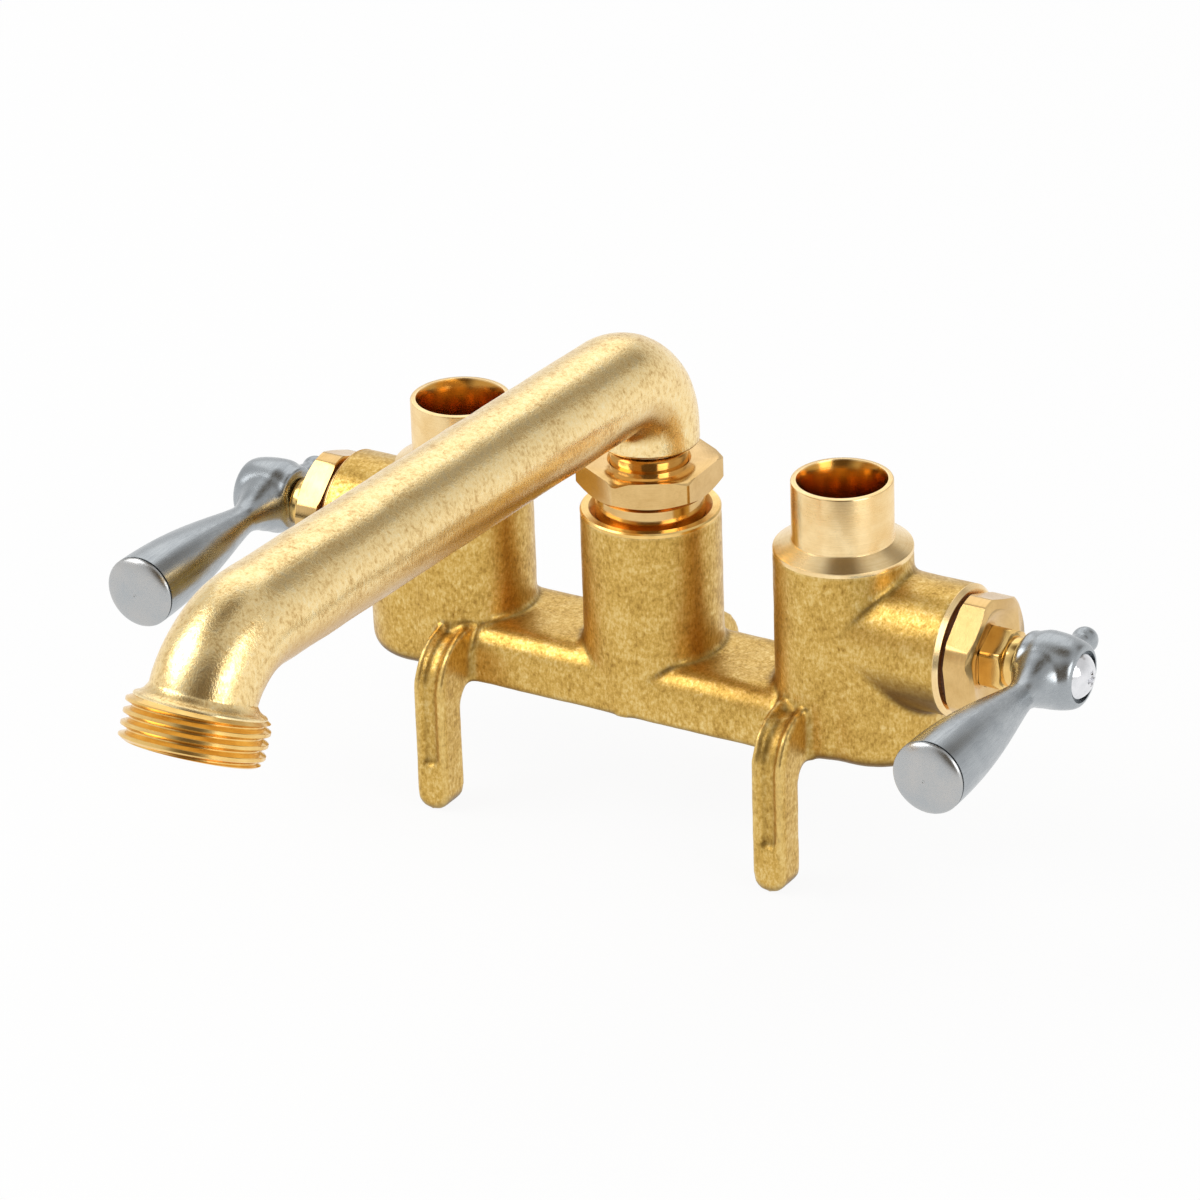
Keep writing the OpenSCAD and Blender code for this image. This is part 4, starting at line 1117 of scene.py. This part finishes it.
class FAUCET_OT_levers(Operator):
    """Build the lever handles and their screws"""
    bl_idname = "faucet.levers"
    bl_label = "Levers"

    def execute(self, context):
        s, h, f = settings(context, "casting", "lever", "finish")
        zinc = satin_zinc("satin zinc", f.zinc_shade, f.zinc)
        pale = satin_zinc("pale zinc", f.zinc, f.zinc_end)
        chrome = bright_chrome(f)
        forward, backward = (raised(h.hub_at + h.lever_at) @ turned_by(turn, "X")
                             for turn in (pi / 2, -pi / 2))
        rim, face = h.grip_length - h.dome, h.hub_at + h.hub_length
        recess, end = h.screw_radius + 0.55 * MM, rim - 0.35 * MM
        for name, side in SIDES.items():
            bm = place(lathe(self.hub(h)), raised(h.hub_at))
            join(bm, place(lathe(self.grip(h, rim)), forward))
            join(bm, place(lathe(self.tail(h), 48), backward))
            lever = new_object("lever", bm)
            remesh(lever, 0.38 * MM, 16)
            combine(lever, "DIFFERENCE", rod(recess, face - 1.1 * MM, face + 3 * MM))
            combine(lever, "DIFFERENCE", place(rod(12 * MM, end, end + 12 * MM), forward))
            dome = new_object("dome", place(lathe(self.dome(h, rim)), forward))
            screw = self.screw(h, face - 0.5 * MM)
            for made, piece, finish, slot, node in (
                    (lever, "lever_grip", zinc, "satin_zinc", "lever"),
                    (dome, "lever_end", pale, "satin_zinc", "lever"),
                    (screw, "dome_screw", chrome, "bright_chrome", "handle_screw")):
                made.data.transform(on_stem(side, s))
                dress(made, f"{name}_{piece}", finish, f"{name}_handle", f"{name}_{node}")
        return {"FINISHED"}

    def hub(self, h):
        """Half section of the hub from its inner end."""
        peak, flat = 0.8 * h.lever_at, 0.25 * h.lever_at
        swell = [(h.hub_inner + (h.hub_radius - h.hub_inner) * (1 - cos(pi * i / 8)) / 2,
                  flat + (peak - flat) * i / 8) for i in range(9)]
        crown = [(h.hub_face + (h.hub_radius - h.hub_face) * cos(pi * i / 16),
                  peak + (h.hub_length - peak) * sin(pi * i / 16)) for i in range(1, 9)]
        return [(0, 0), *around(h.hub_inner, 0, (-0.5, 0), (0, 0.5)), *swell, *crown,
                (0, h.hub_length)]

    def grip(self, h, rim):
        """Half section of the grip from the hub's axis, a little past its rim."""
        r, end = h.neck_radius, rim + 2 * MM
        waist = [(r + (h.end_radius - r) * (1 - cos(pi * (i / 24) ** 0.65)) / 2,
                  h.neck_at + (rim - h.neck_at) * i / 24) for i in range(25)]
        root = around(r, h.hub_radius, (3, -3), (2.2, -1), (1.3, 0.6), (0.65, 2.2), (0.2, 3.8))
        return [(0, 0), (r + 3 * MM, 0), *root, *waist, (h.end_radius, end), (0, end)]

    def tail(self, h):
        """Half section of the small tail behind the hub."""
        middle = h.tail_reach - h.tail_radius
        ball = [(h.tail_radius * cos(radians(a)), middle + h.tail_radius * sin(radians(a)))
                for a in range(-37, 90, 12)]
        return [(0, 0), (1.5 * h.tail_radius, 0), *ball, (0, h.tail_reach)]

    def dome(self, h, rim):
        """Half section of the domed end, with the crease at its rim and a centre mark."""
        r, end = h.end_radius, h.grip_length
        arc = [(r * cos(radians(a)), rim + h.dome * sin(radians(a))) for a in range(4, 86, 6)]
        return [(0, rim - 3 * MM),
                *around(r, rim, (-0.7, -3), (-0.6, -0.3), (-0.2, -0.15), (-0.03, 0.1)), *arc,
                *around(0, end, (0.35, -0.03), (0.2, -0.14), (0, -0.16))]

    def screw(self, h, at):
        """A dome screw with a cross recess."""
        r, high, shank = h.screw_radius, h.screw_height, 1.95 * MM
        ball = (r * r + high * high) / (2 * high)
        arc = [(ball * sin(a), at + high - ball * (1 - cos(a)))
               for a in (0.88 * i / 10 for i in range(10, 0, -1))]
        made = new_object("screw", lathe([(0, at - 4 * MM), (shank, at - 4 * MM), (shank, at),
                                          *around(r, at, (-0.15, 0), (0, 0.12)), *arc,
                                          (0, at + high)]))
        reach, half = 2.3 * MM, 0.55 * MM
        for turn in (0, pi / 2):
            slot = box((-reach, -half, at + 1 * MM), (reach, half, at + 4 * MM))
            deep = [v for v in slot.verts if v.co.z < at + 2 * MM]
            bmesh.ops.scale(slot, verts=deep, vec=(0.45, 0.7, 1))
            combine(made, "DIFFERENCE", place(slot, turned_by(turn)))
        soften(made, 0.07 * MM, 2, 35)
        return made


class FAUCET_OT_clamp(Operator):
    """Build the rim clamp's screw and tip"""
    bl_idname = "faucet.clamp"
    bl_label = "Rim Clamp"

    def execute(self, context):
        c, f = settings(context, "clamp", "finish")
        brass = turned_brass("turned brass on the clamp", f, on_clamp(c), 0.2, 0.36)
        nose = 0.72 * c.thread_radius
        for made, piece, body, node in (
                (self.screw(c, nose), "clamp_screw_thread", "clamp_bolt", "clamp_screw"),
                (self.tip(c, nose + FIT), "clamp_tip_pad", "clamp_pad", "clamp_tip")):
            made.data.transform(on_clamp(c))
            dress(made, piece, brass, body, node)
        return {"FINISHED"}

    def screw(self, c, nose):
        """The threaded screw with its nose and its head."""
        crest, pitch, foot = c.thread_radius, c.thread_pitch, c.tip_back
        root, edge = crest - 0.62 * pitch, crest - 0.05 * MM
        profile = [(root, 0), (root, 0.12 * pitch), (edge, 0.48 * pitch), (crest, 0.53 * pitch),
                   (crest, 0.6 * pitch), (edge, 0.65 * pitch), (root, pitch)]
        turns = int((c.head_at - foot) / pitch) + 1
        made = new_object("screw", helix(profile, pitch, turns, foot + FIT,
                                         c.head_at + 0.3 * MM, 40))
        combine(made, "UNION",
                lathe([*around(0, foot, (0, -2.55)), *around(nose, foot, (-0.4, -2.55), (0, -2.1)),
                       (nose, foot + PAST), (0, foot + PAST)], 48))
        combine(made, "UNION", take(self.head(c)))
        return made

    def head(self, c):
        """A square head with a crowned end."""
        half, front, back = c.head_width / 2, c.head_at, c.head_at + c.head_depth
        block = box((-half, -half, front), (half, half, back))
        made = new_object("head", round_edges(block, standing(block, half), 0.5 * MM, 4))
        wide = 1.3 * half
        crown = [(wide - 1.2 * MM * (1 - cos(radians(a))), back - 0.9 * MM * (1 - sin(radians(a))))
                 for a in range(0, 91, 15)]
        combine(made, "INTERSECT", lathe([(0, front), *around(wide, front, (-0.4, 0), (0, 0.4)),
                                          *crown, (0, back)]))
        return made

    def tip(self, c, hole):
        """The swivelling tip, with a dished face and a hole for the screw's nose."""
        r, front, end, deep = c.tip_radius, c.tip_front, c.tip_back, c.tip_back - 2.6 * MM
        return new_object("tip", lathe([
            *around(0, front, (0, 0.35)), *around(0.6 * r, front, (0, 0.3)), (0.78 * r, front),
            *around(r, front, (-0.4, 0), (-0.1, 0.12), (0, 0.4)),
            *around(r, end, (0, -1.3), (-0.15, -1)), *around(0.76 * r, end, (0, -0.1)),
            (0.72 * r, end), (hole, end), (hole, deep), (0, deep)], 64))


class FAUCET_OT_inner_parts(Operator):
    """Give the small CAD parts that stay their finishes"""
    bl_idname = "faucet.inner_parts"
    bl_label = "Inner Parts"

    def execute(self, context):
        s, f = settings(context, "casting", "finish")
        brass = stem_brass(f, s)
        rubber = soft_finish("black rubber", f.rubber, 0.6, 1800, 0.05 * MM)
        fibre = soft_finish("red fibre", f.fibre, 0.85, 2600, 0.08 * MM)
        finishes = {"spout_o_ring": rubber, "spout_slip_washer": fibre,
                    "spout_retaining_ring": turned_brass("turned brass", f, Matrix(), 0.16, 0.3)}
        stay = {"seat": brass, "washer_screw": brass, "stem": brass, "seat_washer": rubber,
                "packing": rubber, "bonnet_gasket": fibre}
        for name in SIDES:
            finishes |= {f"{name}_{part}": finish for part, finish in stay.items()}
        for node, finish in finishes.items():
            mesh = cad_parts[node].data
            mesh.materials.clear()
            mesh.materials.append(finish)
        return {"FINISHED"}


def soft_light(name, watts, size, place_at):
    """A large square lamp that looks at the faucet's middle."""
    lamp = bpy.data.lights.new(name, "AREA")
    lamp.energy, lamp.size = watts, size
    made = bpy.data.objects.new(name, lamp)
    bpy.context.scene.collection.objects.link(made)
    made.location = place_at
    middle = Vector((0, -0.04, 0.03))
    look = middle - Vector(place_at)
    made.rotation_euler = look.to_track_quat("-Z", "Y").to_euler()


class FAUCET_OT_stage(Operator):
    """Set up the floor, the soft light and the camera"""
    bl_idname = "faucet.stage"
    bl_label = "Studio"

    def execute(self, context):
        scene = context.scene
        t, f = settings(context, "studio", "finish")
        scene.view_settings.view_transform = "Standard"
        bm = bmesh.new()
        bmesh.ops.create_grid(bm, x_segments=8, y_segments=8, size=5,
                              matrix=raised(CAD_BOX[0].z - 0.1 * MM))
        floor = new_object("floor", bm)
        floor.data.materials.append(self.paper(t, f))
        self.world(scene, t)
        soft_light("key", t.key, 0.9, (-0.85, -0.62, 1.0))
        soft_light("back", t.back, 1.0, (-0.5, 0.75, 0.9))
        soft_light("side", t.side, 0.6, (1.0, -0.35, 0.45))
        self.camera(scene, t)
        return {"FINISHED"}

    def paper(self, t, f):
        """White paper that is white to the eye and in reflections, and still takes a shadow."""
        made, tree, shader, place_on = material("pale floor", 0.0, 0.9)
        pale = blend(tree, noise(tree, place_on, 6, 3, 0.5), opaque(f.floor),
                     opaque([0.985 * c for c in f.floor]))
        tree.links.new(pale, shader.inputs["Base Color"])
        path = add(tree, "ShaderNodeLightPath").outputs
        seen = math(tree, "MAXIMUM", path["Is Camera Ray"],
                    math(tree, "MAXIMUM", path["Is Glossy Ray"], path["Is Transmission Ray"]))
        white = add(tree, "ShaderNodeEmission", {"Color": grey(1), "Strength": 1.0})
        mixed = add(tree, "ShaderNodeMixShader", {0: math(tree, "MULTIPLY", seen, t.white),
                                                  1: shader.outputs["BSDF"], 2: white.outputs[0]})
        end = next(n for n in tree.nodes if n.type == "OUTPUT_MATERIAL")
        tree.links.new(mixed.outputs[0], end.inputs["Surface"])
        return made

    def world(self, scene, t):
        """A plain room, bright near the horizon, dim overhead, in a gap and behind the camera."""
        world = bpy.data.worlds.new("studio")
        scene.world = world
        world.use_nodes = True
        tree = world.node_tree
        tree.nodes.clear()
        way = tree.nodes.new("ShaderNodeTexCoord").outputs["Generated"]
        up = add(tree, "ShaderNodeSeparateXYZ", {0: way}).outputs[2]
        gap = along(tree, way, Vector((0.31, 0.74, 0.6)).normalized())
        room = blend(tree, spread(tree, up, 0.0, 0.45), grey(t.horizon), grey(t.sky))
        for place_in, start, full, share in ((up, 0.94, 0.985, 1.0),
                                             (along(tree, way, self.view(t)), 0.75, 0.95, 1.0),
                                             (gap, 0.955, 0.988, 0.72)):
            room = blend(tree, spread(tree, place_in, start, full, 0.0, share), room,
                         opaque(t.shade))
        light = add(tree, "ShaderNodeBackground", {"Color": room, "Strength": 1.0})
        add(tree, "ShaderNodeOutputWorld", {"Surface": light.outputs[0]})

    def view(self, t):
        """The way from the faucet to the camera."""
        a, e = t.azimuth, t.elevation
        return Vector((sin(a) * cos(e), -cos(a) * cos(e), sin(e)))

    def camera(self, scene, t):
        """The photograph's viewing angle."""
        right = Vector((cos(t.azimuth), sin(t.azimuth), 0))
        back = self.view(t)
        up = back.cross(right)
        across = cos(t.roll) * right + sin(t.roll) * up
        above = cos(t.roll) * up - sin(t.roll) * right
        lens = bpy.data.cameras.new("camera")
        lens.lens, lens.sensor_width = t.lens, 36
        lens.clip_start, lens.clip_end = 0.05, 50
        camera = bpy.data.objects.new("camera", lens)
        scene.collection.objects.link(camera)
        at = t.aim_right * across + t.aim_up * above + t.distance * back
        turn = Matrix((across, above, back)).transposed().to_4x4()
        camera.matrix_world = Matrix.Translation(at) @ turn
        scene.camera = camera


class FAUCET_PT_panel(Panel):
    """Lists the faucet's steps and settings"""
    bl_idname = "FAUCET_PT_panel"
    bl_label = "Utility Sink Faucet"
    bl_space_type = "VIEW_3D"
    bl_region_type = "UI"
    bl_category = "Faucet"

    def draw(self, context):
        for step in STEPS:
            self.layout.operator(step.bl_idname)
        for name, group_type in SETTINGS.items():
            column = self.layout.box().column()
            column.label(text=group_type.__doc__)
            for key in group_type.__annotations__:
                column.prop(getattr(context.scene, name), key)


SETTINGS = {"faucet_casting": FaucetCasting, "faucet_spout": FaucetSpout,
            "faucet_valve": FaucetValve, "faucet_lever": FaucetLever, "faucet_clamp": FaucetClamp,
            "faucet_finish": FaucetFinish, "faucet_studio": FaucetStudio}
STEPS = (FAUCET_OT_casting, FAUCET_OT_turned_ends, FAUCET_OT_spout, FAUCET_OT_spout_nut,
         FAUCET_OT_bonnets, FAUCET_OT_levers, FAUCET_OT_clamp, FAUCET_OT_inner_parts,
         FAUCET_OT_stage)


def register():
    """Adds the settings, the steps and the panel."""
    for name, group_type in SETTINGS.items():
        bpy.utils.register_class(group_type)
        setattr(bpy.types.Scene, name, PointerProperty(type=group_type))
    for step in (*STEPS, FAUCET_PT_panel):
        bpy.utils.register_class(step)


def unregister():
    """Takes the settings, the steps and the panel away."""
    for step in reversed((*STEPS, FAUCET_PT_panel)):
        bpy.utils.unregister_class(step)
    for name, group_type in SETTINGS.items():
        delattr(bpy.types.Scene, name)
        bpy.utils.unregister_class(group_type)


def main():
    register()
    bpy.ops.faucet.casting()
    bpy.ops.faucet.turned_ends()
    bpy.ops.faucet.spout()
    bpy.ops.faucet.spout_nut()
    bpy.ops.faucet.bonnets()
    bpy.ops.faucet.levers()
    bpy.ops.faucet.clamp()
    bpy.ops.faucet.inner_parts()
    bpy.ops.faucet.stage()
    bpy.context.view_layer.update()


if __name__ == "__main__":
    main()
